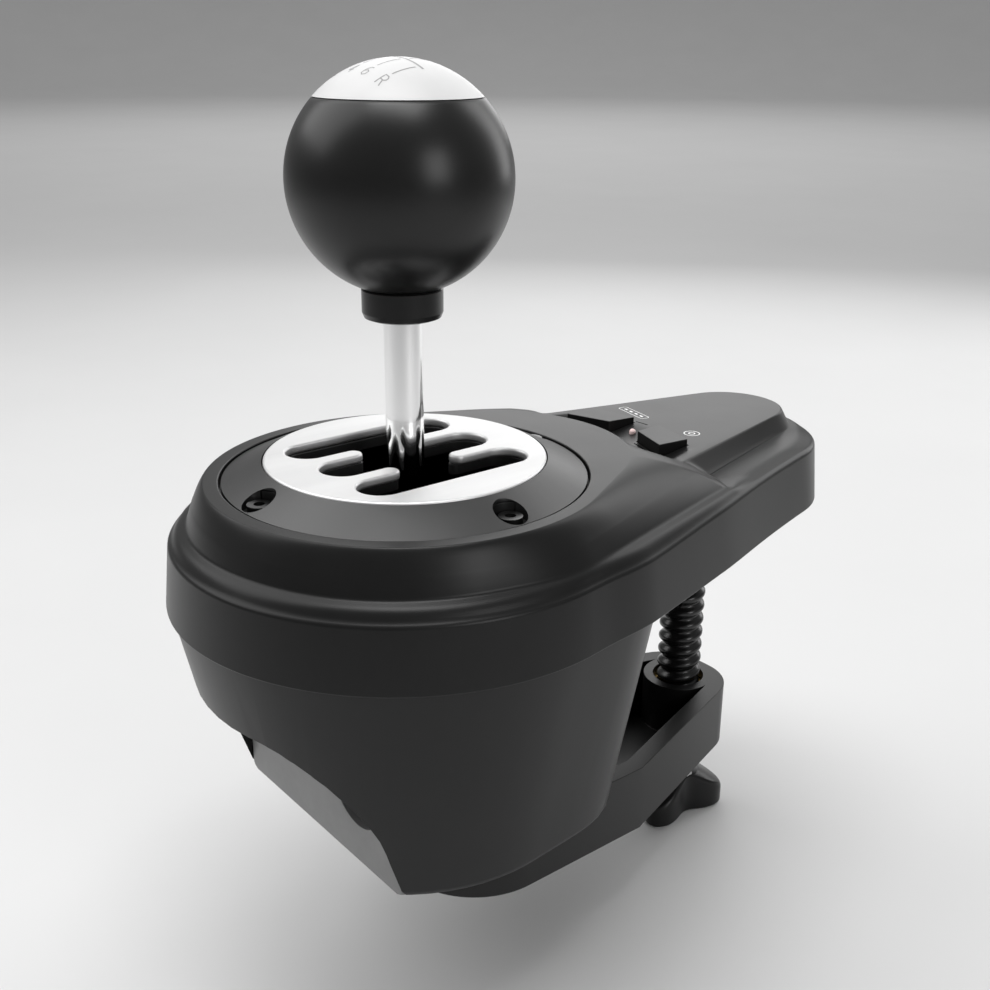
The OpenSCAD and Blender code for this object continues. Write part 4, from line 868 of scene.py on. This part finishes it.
def floor_mesh():
    radii = FLAT_RADII + [FLAT_R + (FLOOR_R - FLAT_R) * i / RISE_STEPS
                          for i in range(RISE_STEPS + 1)]
    points = []
    for r in radii:
        points += ring_of(r, FLOOR_Z + FLOOR_RISE * ease(FLAT_R, FLOOR_R, r), FLOOR_AROUND)
    floor = link_mesh("floor", points, grid_faces(len(radii), FLOOR_AROUND, False, True))
    soften(floor.data, ROUND_EDGE)
    floor.data.materials.append(moulded("floor_pale", grey(0.72), grey(0.74), 0.75, relief=0.001,
                                        cloud=200.0))


floor_mesh()

WORLD_LIGHT = 0.3
world = bpy.data.worlds.new("studio")
bpy.context.scene.world = world
world.use_nodes = True
world.node_tree.nodes["Background"].inputs["Color"].default_value = (1, 1, 1, 1)
world.node_tree.nodes["Background"].inputs["Strength"].default_value = WORLD_LIGHT
bpy.context.scene.view_settings.view_transform = "Standard"

# Soft boxes around the object's middle, facing it: azimuth from +X and height in degrees,
# distance, width and height in metres, power in watts
MIDDLE = Vector((0, -0.08, 0.0))
SOFT_BOXES = {
    "overhead": (-53, 83, 0.81, 0.52, 0.34, 3.6),
    "key": (219, 46, 1.0, 0.9, 0.8, 4.6),
    "back_right": (92, 26, 1.0, 0.35, 0.9, 2.4),
    "behind_low": (134, 17, 1.1, 0.7, 0.3, 1.3),
    "right_front": (0, 22, 0.9, 0.3, 0.4, 1.5),
}
# A last one hangs over the floor behind the object and lights its far part
BEHIND = Vector((-2.3, 1.8, FLOOR_Z * MM))
BEHIND_UP, BEHIND_SIZE, BEHIND_POWER = 1.9, 3.0, 26


def area_light(name, place, facing, width, tall, power):
    data = bpy.data.lights.new(name, "AREA")
    data.shape = "RECTANGLE"
    data.size, data.size_y = width, tall
    data.energy = power
    light = bpy.data.objects.new(name, data)
    light.location = place
    light.rotation_euler = (facing - place).to_track_quat("-Z", "Y").to_euler()
    light.visible_camera = False
    bpy.context.scene.collection.objects.link(light)


for name, (azimuth, height, distance, width, tall, power) in SOFT_BOXES.items():
    a, h = math.radians(azimuth), math.radians(height)
    away = Vector((math.cos(h) * math.cos(a), math.cos(h) * math.sin(a), math.sin(h)))
    area_light(name, MIDDLE + distance * away, MIDDLE, width, tall, power)
area_light("behind", BEHIND + Vector((0, 0, BEHIND_UP)), BEHIND, BEHIND_SIZE, BEHIND_SIZE,
           BEHIND_POWER)

# Camera at the photograph's viewpoint, in millimetres and degrees
CAMERA_AT = (248.58, -281.07, 137.80)
LENS, SENSOR, NEAREST = 44.74, 36, 10
PITCH_DOWN, HEADING, ROLL = (math.radians(v) for v in (20.447, 51.069, 0.406))
forward = Vector((-math.sin(HEADING) * math.cos(PITCH_DOWN),
                  math.cos(HEADING) * math.cos(PITCH_DOWN), -math.sin(PITCH_DOWN)))
level_right = Vector((math.cos(HEADING), math.sin(HEADING), 0))
level_up = level_right.cross(forward)
right = math.cos(ROLL) * level_right + math.sin(ROLL) * level_up
up = -math.sin(ROLL) * level_right + math.cos(ROLL) * level_up
turn = Matrix((right, up, -forward)).transposed().to_4x4()
camera_data = bpy.data.cameras.new("camera")
camera_data.lens = LENS
camera_data.sensor_width = SENSOR
camera_data.clip_start = NEAREST * MM
camera = bpy.data.objects.new("camera", camera_data)
camera.matrix_world = Matrix.Translation(Vector(CAMERA_AT) * MM) @ turn
bpy.context.scene.collection.objects.link(camera)
bpy.context.scene.camera = camera
